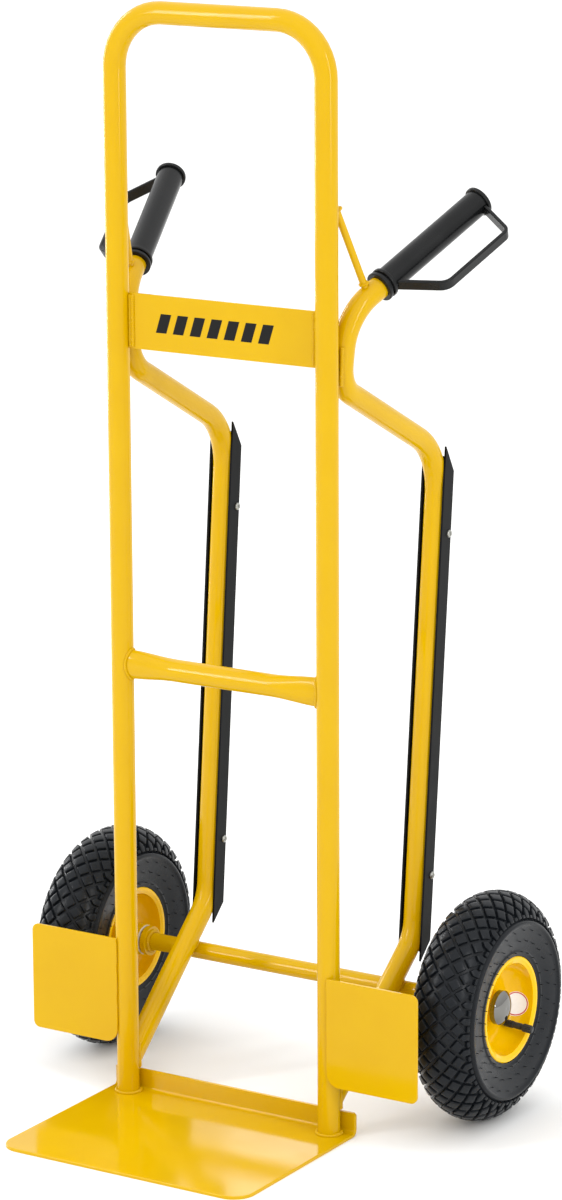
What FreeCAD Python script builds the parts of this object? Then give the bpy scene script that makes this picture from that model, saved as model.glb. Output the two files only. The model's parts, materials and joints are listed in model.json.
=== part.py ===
import FreeCAD, Part
import math
import os

# Two-wheeled hand truck: welded tube frame, toe plate, two pneumatic wheels on
# a fixed axle, stair glides and hand grips with guards.
#
# Frame of reference, in millimetres: the origin is on the ground, midway
# between the uprights' centre lines.  +Z is up, the toe plate points towards
# -Y and the wheels stand towards +Y.  Everything with a left and a right copy
# is made for the right side (+X) and mirrored.

Vector = FreeCAD.Vector
X_AXIS = Vector(1, 0, 0)
Y_AXIS = Vector(0, 1, 0)
Z_AXIS = Vector(0, 0, 1)

# ---------------------------------------------------------------- tubes
TUBE_DIA = 25.0             # every frame tube's outside
TUBE_WALL = 1.5
FRAME_HEIGHT = 1233.5       # ground to the top of the U frame
RAIL_SPACING = 265.4        # between the uprights' centre lines
TOP_BEND = 60.0             # centre-line radius of the U frame's corners
WELD_GAP = 0.1              # root gap between two pieces that are welded

# ---------------------------------------------------------------- toe plate
TOE_WIDTH = 317.0
TOE_REACH = 220.0           # from the uprights' centre line to the front edge
TOE_THICK = 3.5
TOE_CORNER = 25.0
TOE_EDGE_ROUND = 1.2
FLANGE_HEIGHT = 26.6        # ground to the top of the upturned rear flange
FLANGE_BEND = 4.0           # inside radius of the bend
FLANGE_CHAMFER = 2.5

# ---------------------------------------------------------------- wheels
WHEEL_DIA = 258.0
WHEEL_X = 248.9             # tyre's middle plane
TYRE_WIDTH = 78.0
TYRE_WALL = 5.5
TREAD_THICK = 9.0
WALL_BULGE = 0.94           # share of the half width at mid sidewall
RIM_DIA = 119.4             # over the rim's lips
RIM_WIDTH = 62.0            # over the lips
RIM_SHEET = 2.0
RIM_WELL_DIA = 104.0        # visible opening inside the lip
RIM_BOWL_ROUND = 21.0       # radius from the well's wall to its floor
TUBE_SKIN = 1.5             # inner tube's wall
SOFT_GAP = 0.4              # between the inner tube and what is round it
SIDE_GAP = 1.6              # between the inner tube and the tyre's sidewalls
HUB_DIA = 36.0
HUB_BORE = 28.0
HUB_IN = 44.0               # hub's end inboard of the tyre's middle plane
HUB_OUT = 17.0              # hub's end outboard of it
BUSH_FLANGE = 1.5
BUSH_LENGTH = 20.0
BUSH_FLANGE_DIA = 34.0
PRESS_GAP = 0.05            # between pressed-in pieces, all round
RUN_GAP = 0.05              # running clearance on the axle, all round
END_GAP = 0.5               # axial play beside the hub

VALVE_RADIUS = 37.0         # valve hole's distance from the axle
VALVE_ANGLE = -45.0         # valve's direction round the axle
VALVE_LEAN = 10.0           # stem's lean away from the axle
VALVE_DIA = 7.6
VALVE_TIP = 41.0            # cap's end outboard of the tyre's middle plane
VALVE_CAP_DIA = 8.8
VALVE_CAP_LENGTH = 12.5
VALVE_ROOT = 0.5            # stem's inner end outboard of the tyre's middle plane

# ---------------------------------------------------------------- axle
AXLE_DIA = 20.0
AXLE_STUB = 5.0             # axle's end outboard of the hub
CAP_DIA = 38.6
CAP_SHEET = 0.8
CAP_SKIRT = 4.0             # skirt's length over the hub's end
CAP_RIM = 2.0
CAP_DOME = 5.5
CAP_DOME_LEAN = 52.0        # where the dome's arc is fullest, degrees
STOP_DIA = 34.0
STOP_THICK = 6.0
WASHER_DIA = 33.0
WASHER_THICK = 1.6

# ---------------------------------------------------------------- rear tubes
SLOPE_FOOT_Z = 36.0         # where the sloped run meets the upright's axis
WHEEL_BEND_Y = 175.0        # lower rear bend
WHEEL_BEND_Z = 182.0
BACK_BEND_Y = 224.1         # upper rear bend
BACK_BEND_Z = 730.0
NECK_LOW_Z = 834.0          # where the tube turns up beside the upright
NECK_HIGH_Z = 911.2         # where it turns out towards the grip
REAR_LEAN_LOW = 5.4         # the tube's place outboard of the upright's axis
REAR_LEAN_HIGH = 6.4
NECK_LEAN_LOW = 1.0
NECK_LEAN_HIGH = 9.3
GRIP_RISE = 28.3            # grip's slope, degrees
GRIP_SPLAY = 17.3           # grip's angle outwards, degrees
LOW_ROUND = 50.0            # centre-line bend radii
BACK_ROUND = 70.0
NECK_ROUND = 40.0
HANDLE_ROUND = 64.0

# ---------------------------------------------------------------- grips
GRIP_START = 52.0           # from the handle bend's corner to the grip
GRIP_LENGTH = 166.0
GRIP_DIA = 29.4
GRIP_RING_DIA = 34.5
GRIP_RING_WIDTH = 4.5
GRIP_RING_GAP = 3.0
GRIP_END_WALL = 4.0
GRIP_EDGE_ROUND = 1.2
GUARD_DROP = 21.2           # guard's plane below level, degrees
GUARD_REACH = 57.5          # guard's middle line from the grip's axis
GUARD_THICK = 4.0
GUARD_WIDTH = 12.5
GUARD_ROOT = 6.5            # stations along the grip of the guard's four
GUARD_LOW = 45.0            # corners, from its lower end
GUARD_HIGH = 145.0
GUARD_TIP = 163.0
GUARD_LOW_ROUND = 16.0
GUARD_HIGH_ROUND = 8.0

# ---------------------------------------------------------------- braces
BRACE_DIA = 8.0
BRACE_TOP_Z = 1030.0
BRACE_TOP_Y = 11.0
BRACE_TOP_X = 3.0           # outboard of the upright's axis
BRACE_FOOT = 35.0           # station on the handle run, from its corner
BRACE_WELD = 2.2            # bead's leg round each end

# ---------------------------------------------------------------- cross members
BAR_Z = 502.8
BAR_END_HEIGHT = 32.5
BAR_END_DEPTH = 17.0
BAR_FLARE = 58.0            # length over which each end is pressed
BAR_STEPS = 6               # outlines along each pressed end, after the first
PLATE_TOP = 917.0
PLATE_HEIGHT = 61.0
PLATE_THICK = 2.5
PLATE_Y = 4.0               # name plate's middle, behind the uprights' axes

# ---------------------------------------------------------------- wheel guards
SHIELD_INNER = 5.3          # inner edge outboard of the upright's axis
SHIELD_OUTER = 252.4        # outer edge
SHIELD_TOP = 185.8
SHIELD_BOTTOM = 62.6
SHIELD_THICK = 2.5
SHIELD_ROUND = 8.0
SHIELD_FOOT_ROUND = 16.0
SHIELD_EDGE_ROUND = 0.5

# ---------------------------------------------------------------- glides
GLIDE_HALF_WIDTH = 15.0
GLIDE_WALL = 2.3
GLIDE_FRONT = 8.0           # walls' front edges ahead of the tube's axis
GLIDE_SIDE = 11.5           # flat side's end behind the tube's axis
GLIDE_DEPTH = 22.5          # runner's back behind the tube's axis
GLIDE_RUNNER_HALF = 8.0
GLIDE_FRONT_TRIM = 17.0     # front edges' ends, from the bends' corners
GLIDE_BACK_TRIM = 38.0      # runner's upper end, from the upper bend
GLIDE_BACK_TRIM_LOW = 9.0   # runner's lower end, from the lower bend
GLIDE_TIP = 9.0             # upper tip past the upper bend's corner
GLIDE_TIP_LOW = 28.0        # lower tip past the lower bend's corner
SCREW_STATIONS = (72.0, 459.0)
SCREW_BACK = 7.0            # screws' axes behind the tube's axis
SCREW_DIA = 4.0
SCREW_HEAD_DIA = 8.6
SCREW_HEAD = 2.4
SCREW_HEAD_ROUND = 1.4
SCREW_LENGTH = 7.0
SCREW_GAP = 0.1
SCREW_SEAT_GAP = 0.02       # under the heads

# ---------------------------------------------------------------- weld beads
FOOT_WELD = 3.2             # leg of the bead round each upright's foot
BAR_WELD = 3.0
PLATE_WELD = 3.0
NECK_WELD_LENGTH = 44.0
NECK_WELD_WIDTH = 13.0
SHIELD_WELD = 2.6
SHIELD_WELD_LENGTH = 24.0
SHIELD_WELD_COUNT = 3
AXLE_WELD_DIA = 15.0
STOP_WELD = 5.0
SLOPE_WELD = 3.0

# ---------------------------------------------------------------- derived sizes
TUBE_R = TUBE_DIA / 2
AXLE_R = AXLE_DIA / 2
RAIL_X = RAIL_SPACING / 2
WHEEL_R = WHEEL_DIA / 2
PLATE_BOTTOM = PLATE_TOP - PLATE_HEIGHT
SLOPE = math.atan2(WHEEL_BEND_Z - SLOPE_FOOT_Z, WHEEL_BEND_Y)
# The axle lies under the sloped runs and touches both of them.
AXLE_TO_TUBE = TUBE_R + AXLE_R + WELD_GAP
AXLE_Z = WHEEL_R
AXLE_Y = (AXLE_TO_TUBE + (AXLE_Z - SLOPE_FOOT_Z) * math.cos(SLOPE)) / math.sin(SLOPE)
HUB_INNER_X = WHEEL_X - HUB_IN
HUB_OUTER_X = WHEEL_X + HUB_OUT
AXLE_END_X = HUB_OUTER_X + AXLE_STUB
WASHER_X = HUB_INNER_X - END_GAP - WASHER_THICK
STOP_X = WASHER_X - WELD_GAP - STOP_THICK


# ---------------------------------------------------------------- helpers
def mirrored(shape):
    """The left-hand copy of a right-hand shape."""
    return shape.mirror(Vector(0, 0, 0), X_AXIS)


def rod(start, end, radius):
    """A solid cylinder from one point to another."""
    run = end - start
    return Part.makeCylinder(radius, run.Length, start, run)


def block(low, high):
    """A box between two opposite corners."""
    size = high - low
    return Part.makeBox(size.x, size.y, size.z, low)


def closed_face(points):
    """A face bounded by straight edges through the points given."""
    return Part.Face(Part.makePolygon(points + [points[0]]))


def rounded_route(points, radii):
    """Straight runs joined by tangent arcs, one radius per inner corner."""
    edges = []
    start = points[0]
    for before, corner, after, radius in zip(points, points[1:], points[2:], radii):
        to_before = (before - corner).normalize()
        to_after = (after - corner).normalize()
        opening = to_before.getAngle(to_after)
        setback = radius / math.tan(opening / 2)
        middle = (to_before + to_after).normalize()
        arc_start = corner + to_before * setback
        arc_end = corner + to_after * setback
        centre = corner + middle * (radius / math.sin(opening / 2))
        arc_middle = centre - middle * radius
        edges.append(Part.LineSegment(start, arc_start).toShape())
        edges.append(Part.Arc(arc_start, arc_middle, arc_end).toShape())
        start = arc_end
    edges.append(Part.LineSegment(start, points[-1]).toShape())
    return Part.Wire(edges)


def rounded_outline(points, radii, normal):
    """A flat face whose corners are rounded; a radius of 0 keeps a corner."""
    edges = []
    ends = []
    count = len(points)
    for index in range(count):
        corner = points[index]
        radius = radii[index]
        if radius == 0:
            ends.append((corner, corner))
            continue
        to_before = (points[index - 1] - corner).normalize()
        to_after = (points[(index + 1) % count] - corner).normalize()
        opening = to_before.getAngle(to_after)
        setback = radius / math.tan(opening / 2)
        middle = (to_before + to_after).normalize()
        centre = corner + middle * (radius / math.sin(opening / 2))
        first = corner + to_before * setback
        last = corner + to_after * setback
        edges.append(Part.Arc(first, centre - middle * radius, last).toShape())
        ends.append((first, last))
    for index in range(count):
        leave = ends[index][1]
        reach = ends[(index + 1) % count][0]
        if leave.distanceToPoint(reach) > 1e-6:
            edges.append(Part.LineSegment(leave, reach).toShape())
    return Part.Face(Part.Wire(Part.__sortEdges__(edges)))


def swept_bar(route, radius):
    """A solid round bar along a route."""
    first = route.OrderedEdges[0]
    start = first.valueAt(first.FirstParameter)
    along = first.tangentAt(first.FirstParameter)
    ring = Part.Wire(Part.makeCircle(radius, start, along))
    return route.makePipeShell([ring], True, False)


def swept_tube(route):
    """A frame tube along a route."""
    return swept_bar(route, TUBE_R).cut(swept_bar(route, TUBE_R - TUBE_WALL))


def biggest(shape):
    """The largest solid of a cut, as one solid."""
    return max(shape.Solids, key=lambda solid: solid.Volume)


def ring(x_from, x_to, inner_radius, outer_radius):
    """A ring round the axle's line."""
    start = Vector(x_from, AXLE_Y, AXLE_Z)
    end = Vector(x_to, AXLE_Y, AXLE_Z)
    return rod(start, end, outer_radius).cut(rod(start, end, inner_radius))


def wheel_point(offset, radius):
    """A point of a wheel's section: outboard offset and distance from the axle."""
    return Vector(WHEEL_X + offset, AXLE_Y, AXLE_Z + radius)


def turned(face):
    """A section of the wheel turned round the axle's line."""
    return face.revolve(Vector(0, AXLE_Y, AXLE_Z), X_AXIS, 360)


def export(name, shape):
    """Writes one sub-part."""
    shape.exportStep(os.path.join("parts", name + ".step"))


def export_pair(name, shape):
    """Writes a right-hand sub-part and its left-hand copy."""
    export(name + "_right", shape)
    export(name + "_left", mirrored(shape))


# ---------------------------------------------------------------- frame tubes
def upright_bar():
    """The right upright as a plain solid bar, for coping what meets it."""
    start = Vector(RAIL_X, 0, 0)
    return Part.makeCylinder(TUBE_R + WELD_GAP, FRAME_HEIGHT - TOP_BEND, start, Z_AXIS)


def front_frame():
    """The U-shaped front tube, standing on the toe plate."""
    top = FRAME_HEIGHT - TUBE_R
    corners = [
        Vector(-RAIL_X, 0, TOE_THICK),
        Vector(-RAIL_X, 0, top),
        Vector(RAIL_X, 0, top),
        Vector(RAIL_X, 0, TOE_THICK),
    ]
    tube = swept_tube(rounded_route(corners, [TOP_BEND, TOP_BEND]))
    return biggest(tube.cut(bend_space()))


def bend_space():
    """The flange's inner bend, which the uprights' feet are notched to clear."""
    half = TOE_WIDTH / 2
    back = TUBE_R + WELD_GAP
    centre_y = back - FLANGE_BEND
    centre_z = TOE_THICK + FLANGE_BEND
    corner = block(Vector(-half, centre_y, 0), Vector(half, back, centre_z))
    start = Vector(-half, centre_y, centre_z)
    hollow = Part.makeCylinder(FLANGE_BEND - WELD_GAP, TOE_WIDTH, start, X_AXIS)
    return corner.cut(hollow)


def grip_direction():
    """Unit vector along the right grip, from the handle bend outwards."""
    rise = math.radians(GRIP_RISE)
    splay = math.radians(GRIP_SPLAY)
    level = math.cos(rise)
    return Vector(level * math.sin(splay), level * math.cos(splay), math.sin(rise))


def handle_corner():
    """The handle bend's corner."""
    return Vector(RAIL_X + NECK_LEAN_HIGH, TUBE_DIA + WELD_GAP, NECK_HIGH_Z)


def on_handle(station):
    """A point on the handle run's centre line, from the bend's corner."""
    return handle_corner() + grip_direction() * station


def rear_corners():
    """Corners of the right rear tube's centre line, from its foot up."""
    tube_end = GRIP_START + GRIP_LENGTH - GRIP_END_WALL - PRESS_GAP
    return [
        Vector(RAIL_X, 0, SLOPE_FOOT_Z),
        Vector(RAIL_X + REAR_LEAN_LOW, WHEEL_BEND_Y, WHEEL_BEND_Z),
        Vector(RAIL_X + REAR_LEAN_HIGH, BACK_BEND_Y, BACK_BEND_Z),
        Vector(RAIL_X + NECK_LEAN_LOW, TUBE_DIA + WELD_GAP, NECK_LOW_Z),
        handle_corner(),
        on_handle(tube_end),
    ]


def rear_route():
    """The right rear tube's centre line."""
    return rounded_route(rear_corners(), [LOW_ROUND, BACK_ROUND, NECK_ROUND, HANDLE_ROUND])


def rear_tube():
    """The right rear tube, coped where its foot meets the upright."""
    tube = biggest(swept_tube(rear_route()).cut(upright_bar()))
    return biggest(tube.cut(screw_holes()))


def brace_ends():
    """The brace rod's centre line ends, inside the tubes it joins."""
    top = Vector(RAIL_X + BRACE_TOP_X, BRACE_TOP_Y, BRACE_TOP_Z)
    return top, on_handle(BRACE_FOOT)


def brace_rod():
    """The thin rod from the upright to the handle run."""
    top, foot = brace_ends()
    whole = rod(top, foot, BRACE_DIA / 2)
    return biggest(whole.cut(upright_bar()).cut(swept_bar(rear_route(), TUBE_R + WELD_GAP)))


# ---------------------------------------------------------------- cross members
def bar_section(x_place, swell, inset):
    """The cross bar's outline; swell runs from 0, round, to 1, pressed."""
    half_height = TUBE_R + (BAR_END_HEIGHT / 2 - TUBE_R) * swell - inset
    half_depth = TUBE_R + (BAR_END_DEPTH / 2 - TUBE_R) * swell - inset
    centre = Vector(x_place, 0, BAR_Z)
    if swell == 0:
        return Part.Wire(Part.makeCircle(half_height, centre, X_AXIS))
    on_top = centre + Z_AXIS * half_height
    if half_height < half_depth:
        return Part.Wire(Part.Ellipse(centre + Y_AXIS * half_depth, on_top, centre).toShape())
    return Part.Wire(Part.Ellipse(on_top, centre + Y_AXIS * half_depth, centre).toShape())


def bar_half(inset):
    """Half of the cross bar, from its middle to inside the right upright."""
    flare_start = RAIL_X - TUBE_R - BAR_FLARE
    sections = []
    for step in range(BAR_STEPS + 1):
        share = step / BAR_STEPS
        swell = share * share * (3 - 2 * share)
        sections.append(bar_section(flare_start + BAR_FLARE * share, swell, inset))
    flare = Part.makeLoft(sections, True, False)
    tail = Part.Face(sections[-1]).extrude(X_AXIS * (TUBE_R - TUBE_WALL))
    middle = Part.makeCylinder(TUBE_R - inset, flare_start, Vector(0, 0, BAR_Z), X_AXIS)
    return middle.fuse(flare).fuse(tail)


def bar_solid(inset):
    """The whole cross bar as a filled shape."""
    half = bar_half(inset)
    return half.fuse(mirrored(half)).removeSplitter()


def cross_bar():
    """The cross bar, hollow, coped to both uprights."""
    whole = bar_solid(0).cut(bar_solid(TUBE_WALL))
    right = upright_bar()
    return biggest(whole.cut(right).cut(mirrored(right)))


def name_plate():
    """The flat strip between the uprights, near the handles."""
    low = Vector(-RAIL_X, PLATE_Y - PLATE_THICK / 2, PLATE_BOTTOM)
    high = Vector(RAIL_X, PLATE_Y + PLATE_THICK / 2, PLATE_TOP)
    right = upright_bar()
    return biggest(block(low, high).cut(right).cut(mirrored(right)))


# ---------------------------------------------------------------- plates
def toe_plate():
    """The load plate with its upturned rear flange."""
    back = TUBE_R + WELD_GAP + TOE_THICK
    front = -TOE_REACH
    half = TOE_WIDTH / 2
    inside = FLANGE_BEND
    outside = FLANGE_BEND + TOE_THICK
    profile = rounded_outline(
        [
            Vector(-half, front, 0),
            Vector(-half, back, 0),
            Vector(-half, back, FLANGE_HEIGHT),
            Vector(-half, back - TOE_THICK, FLANGE_HEIGHT),
            Vector(-half, back - TOE_THICK, TOE_THICK),
            Vector(-half, front, TOE_THICK),
        ],
        [0, outside, 0, 0, inside, 0],
        X_AXIS,
    )
    plate = profile.extrude(X_AXIS * TOE_WIDTH)
    plan = rounded_outline(
        [
            Vector(-half, front, 0),
            Vector(half, front, 0),
            Vector(half, back, 0),
            Vector(-half, back, 0),
        ],
        [TOE_CORNER, TOE_CORNER, 0, 0],
        Z_AXIS,
    ).extrude(Z_AXIS * FLANGE_HEIGHT)
    plate = plate.common(plan)
    elevation = closed_face(
        [
            Vector(-half, front, 0),
            Vector(half, front, 0),
            Vector(half, front, FLANGE_HEIGHT - FLANGE_CHAMFER),
            Vector(half - FLANGE_CHAMFER, front, FLANGE_HEIGHT),
            Vector(FLANGE_CHAMFER - half, front, FLANGE_HEIGHT),
            Vector(-half, front, FLANGE_HEIGHT - FLANGE_CHAMFER),
        ]
    ).extrude(Y_AXIS * (back - front))
    plate = biggest(plate.common(elevation))
    rim = [edge for edge in plate.Edges if is_front_rim(edge)]
    return biggest(plate.makeFillet(TOE_EDGE_ROUND, rim))


def is_front_rim(edge):
    """True for the top edges round the toe plate's load face."""
    box = edge.BoundBox
    level = abs(box.ZMin - TOE_THICK) < 1e-3 and abs(box.ZMax - TOE_THICK) < 1e-3
    ahead = box.YMax < TUBE_R + WELD_GAP - FLANGE_BEND + 1e-3
    along_bend = box.YMin > -TOE_REACH + TOE_CORNER and box.XLength > TOE_WIDTH / 2
    return level and ahead and not along_bend


def shield_face():
    """Rear plane of the wheel guards, touching the tube at the inner edge."""
    return -math.sqrt((TUBE_R + WELD_GAP) ** 2 - SHIELD_INNER ** 2)


def wheel_guard():
    """The flat plate ahead of the right wheel."""
    rear = shield_face()
    inner = RAIL_X + SHIELD_INNER
    outline = rounded_outline(
        [
            Vector(inner, rear, SHIELD_BOTTOM),
            Vector(SHIELD_OUTER, rear, SHIELD_BOTTOM),
            Vector(SHIELD_OUTER, rear, SHIELD_TOP),
            Vector(inner, rear, SHIELD_TOP),
        ],
        [SHIELD_FOOT_ROUND, SHIELD_ROUND, SHIELD_ROUND, SHIELD_EDGE_ROUND],
        Y_AXIS,
    )
    plate = outline.extrude(Y_AXIS * -SHIELD_THICK)
    face_y = rear - SHIELD_THICK
    front = [edge for edge in plate.Edges if abs(edge.BoundBox.YMax - face_y) < 1e-3]
    return biggest(plate.makeFillet(SHIELD_EDGE_ROUND, front))


# ---------------------------------------------------------------- axle set
def axle():
    """The fixed bar that both wheels run on."""
    return rod(
        Vector(-AXLE_END_X, AXLE_Y, AXLE_Z),
        Vector(AXLE_END_X, AXLE_Y, AXLE_Z),
        AXLE_R,
    )


def axle_stop():
    """The collar welded on the axle, inboard of the hub."""
    return ring(STOP_X, STOP_X + STOP_THICK, AXLE_R + PRESS_GAP, STOP_DIA / 2)


def thrust_washer():
    """The loose washer between the collar and the hub."""
    inner = AXLE_R + RUN_GAP
    return ring(WASHER_X, WASHER_X + WASHER_THICK, inner, WASHER_DIA / 2)


def axle_cap():
    """The domed cap pressed on the axle's end, over the hub."""
    start = HUB_OUTER_X + END_GAP
    radius = CAP_DIA / 2
    shoulder = start + CAP_RIM
    crown = shoulder + CAP_DOME
    bore = AXLE_R + PRESS_GAP
    bore_end = AXLE_END_X + PRESS_GAP
    skirt = start - CAP_SKIRT
    inside = radius - CAP_SHEET

    def place(x_place, r_place):
        return Vector(x_place, AXLE_Y, AXLE_Z + r_place)

    lean = math.radians(CAP_DOME_LEAN)
    dome_middle = place(
        shoulder + CAP_DOME * math.sin(lean),
        radius * math.cos(lean),
    )
    edges = [
        Part.LineSegment(place(bore_end, 0), place(crown, 0)).toShape(),
        Part.Arc(place(crown, 0), dome_middle, place(shoulder, radius)).toShape(),
        Part.LineSegment(place(shoulder, radius), place(skirt, radius)).toShape(),
        Part.LineSegment(place(skirt, radius), place(skirt, inside)).toShape(),
        Part.LineSegment(place(skirt, inside), place(start, inside)).toShape(),
        Part.LineSegment(place(start, inside), place(start, bore)).toShape(),
        Part.LineSegment(place(start, bore), place(bore_end, bore)).toShape(),
        Part.LineSegment(place(bore_end, bore), place(bore_end, 0)).toShape(),
    ]
    return turned(Part.Face(Part.Wire(edges)))


# ---------------------------------------------------------------- wheel
def tyre():
    """The tyre's casing, open towards the rim."""
    half = TYRE_WIDTH / 2
    section = WHEEL_R - half
    bead = RIM_WELL_DIA / 2 + RIM_SHEET + SOFT_GAP
    heel = RIM_WIDTH / 2 - RIM_SHEET - SOFT_GAP
    wall_foot = RIM_DIA / 2 + SOFT_GAP
    cavity = half - TYRE_WALL
    cavity_top = WHEEL_R - TREAD_THICK
    toe = heel - TYRE_WALL - RIM_SHEET
    lean = math.sqrt(0.5)
    half_out = [
        (heel - RIM_SHEET, bead),
        (heel, bead + RIM_SHEET),
        (heel, wall_foot),
        (heel + RIM_SHEET, wall_foot),
        (half * WALL_BULGE, (wall_foot + section) / 2),
        (half, section),
        (half * lean, section + half * lean),
        (0, WHEEL_R),
    ]
    half_in = [
        (0, cavity_top),
        (cavity * lean, section + (cavity_top - section) * lean),
        (cavity, section),
        (cavity * WALL_BULGE, (wall_foot + section) / 2),
        (toe, wall_foot),
        (toe, bead),
    ]
    edges = []
    for side in (1, -1):
        out = [wheel_point(side * offset, radius) for offset, radius in half_out]
        inn = [wheel_point(side * offset, radius) for offset, radius in half_in]
        edges.append(Part.LineSegment(out[0], out[1]).toShape())
        edges.append(Part.LineSegment(out[1], out[2]).toShape())
        edges.append(Part.LineSegment(out[2], out[3]).toShape())
        edges.append(Part.Arc(out[3], out[4], out[5]).toShape())
        edges.append(Part.Arc(out[5], out[6], out[7]).toShape())
        edges.append(Part.Arc(inn[0], inn[1], inn[2]).toShape())
        edges.append(Part.Arc(inn[2], inn[3], inn[4]).toShape())
        edges.append(Part.LineSegment(inn[4], inn[5]).toShape())
        edges.append(Part.LineSegment(inn[5], out[0]).toShape())
    return turned(Part.Face(Part.Wire(Part.__sortEdges__(edges))))


def inner_tube():
    """The air tube inside the tyre, hollow."""
    top = WHEEL_R - TREAD_THICK - SOFT_GAP
    foot = RIM_DIA / 2 + SOFT_GAP
    half = TYRE_WIDTH / 2 - TYRE_WALL - SIDE_GAP
    radius = min((top - foot) / 2, half)
    centre = wheel_point(0, top - radius)
    outer = Part.Wire(Part.makeCircle(radius, centre, Y_AXIS))
    inner = Part.Wire(Part.makeCircle(radius - TUBE_SKIN, centre, Y_AXIS))
    whole = turned(Part.Face(outer))
    return whole.cut(turned(Part.Face(inner)))


def rim_half():
    """The outboard pressed half of the rim: floor, bowl, wall and rolled lip."""
    well = RIM_WELL_DIA / 2
    lip = RIM_DIA / 2
    face = RIM_WIDTH / 2
    floor = RIM_SHEET
    hub = HUB_DIA / 2 + WELD_GAP
    turn_radius = RIM_BOWL_ROUND
    lean = math.sqrt(0.5)
    front_centre = (floor + turn_radius, well - turn_radius)
    back_radius = turn_radius + RIM_SHEET
    lip_start = face - RIM_SHEET
    front = [
        (floor, hub),
        (floor, well - turn_radius),
        (front_centre[0] - turn_radius * lean, front_centre[1] + turn_radius * lean),
        (floor + turn_radius, well),
        (lip_start, well),
        (face, well + RIM_SHEET * 2),
        (face, lip - RIM_SHEET / 2),
        (face - RIM_SHEET / 2, lip),
        (face - RIM_SHEET, lip),
        (face - RIM_SHEET, well + RIM_SHEET * 2),
        (lip_start - RIM_SHEET, well + RIM_SHEET),
        (floor + turn_radius, well + RIM_SHEET),
        (front_centre[0] - back_radius * lean, front_centre[1] + back_radius * lean),
        (WELD_GAP / 2, well - turn_radius),
        (WELD_GAP / 2, hub),
    ]
    spots = [wheel_point(offset, radius) for offset, radius in front]
    edges = [
        Part.LineSegment(spots[0], spots[1]).toShape(),
        Part.Arc(spots[1], spots[2], spots[3]).toShape(),
        Part.LineSegment(spots[3], spots[4]).toShape(),
    ]
    for index in range(4, 11):
        edges.append(Part.LineSegment(spots[index], spots[index + 1]).toShape())
    edges.append(Part.Arc(spots[11], spots[12], spots[13]).toShape())
    edges.append(Part.LineSegment(spots[13], spots[14]).toShape())
    edges.append(Part.LineSegment(spots[14], spots[0]).toShape())
    return turned(Part.Face(Part.Wire(edges)))


def rim_outer():
    """The outboard half, with the valve's hole."""
    hole = rod(*valve_line(-RIM_SHEET, VALVE_TIP), VALVE_DIA / 2 + PRESS_GAP)
    return biggest(rim_half().cut(hole))


def rim_inner():
    """The inboard half."""
    return rim_half().mirror(Vector(WHEEL_X, 0, 0), X_AXIS)


def hub():
    """The tube through the rim that holds the bushes."""
    start = HUB_INNER_X + BUSH_FLANGE + PRESS_GAP
    end = HUB_OUTER_X - BUSH_FLANGE - PRESS_GAP
    return ring(start, end, HUB_BORE / 2, HUB_DIA / 2)


def bush(outer_end, inward):
    """A flanged bush pressed in the hub; inward is its direction along X."""
    bore = AXLE_R + RUN_GAP
    flange_end = outer_end + inward * BUSH_FLANGE
    tip = outer_end + inward * BUSH_LENGTH
    flange = ring(outer_end, flange_end, bore, BUSH_FLANGE_DIA / 2)
    sleeve = ring(flange_end, tip, bore, HUB_BORE / 2 - PRESS_GAP)
    return flange.fuse(sleeve).removeSplitter()


def valve_line(start_offset, end_offset):
    """Two points on the valve's axis, at offsets from the tyre's middle plane."""
    angle = math.radians(VALVE_ANGLE)
    lean = math.tan(math.radians(VALVE_LEAN))
    away = Vector(0, math.cos(angle), math.sin(angle))
    points = []
    for offset in (start_offset, end_offset):
        middle = Vector(WHEEL_X + offset, AXLE_Y, AXLE_Z)
        points.append(middle + away * (VALVE_RADIUS + offset * lean))
    return points


def valve_stem():
    """The valve's stem, through the rim's bowl."""
    cap_start = VALVE_TIP - VALVE_CAP_LENGTH
    start, end = valve_line(VALVE_ROOT, cap_start)
    thread_start, thread_end = valve_line(cap_start, VALVE_TIP - VALVE_CAP_LENGTH / 3)
    body = rod(start, end, VALVE_DIA / 2)
    return body.fuse(rod(thread_start, thread_end, VALVE_DIA / 3)).removeSplitter()


def valve_cap():
    """The black cap screwed on the stem."""
    cap_start = VALVE_TIP - VALVE_CAP_LENGTH
    start, end = valve_line(cap_start + PRESS_GAP, VALVE_TIP)
    whole = rod(start, end, VALVE_CAP_DIA / 2)
    far = [edge for edge in whole.Edges if edge.BoundBox.XMin > start.x + VALVE_CAP_LENGTH / 2]
    whole = whole.makeFillet(GRIP_EDGE_ROUND, far)
    bore_start, bore_end = valve_line(cap_start, VALVE_TIP - VALVE_CAP_LENGTH / 3 + PRESS_GAP)
    return biggest(whole.cut(rod(bore_start, bore_end, VALVE_DIA / 3 + PRESS_GAP)))


# ---------------------------------------------------------------- grips
def grip_axes():
    """The right grip's axis, its guard's direction and the plane's normal."""
    along = grip_direction()
    level = Vector(along.y, -along.x, 0).normalize()
    upright = level.cross(along)
    drop = math.radians(GUARD_DROP)
    outward = level * math.cos(drop) - upright * math.sin(drop)
    return along, outward, along.cross(outward)


def on_grip(station, reach):
    """A point of the guard's plane: station along the grip, reach outwards."""
    along, outward = grip_axes()[:2]
    return on_handle(GRIP_START) + along * station + outward * reach


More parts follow.
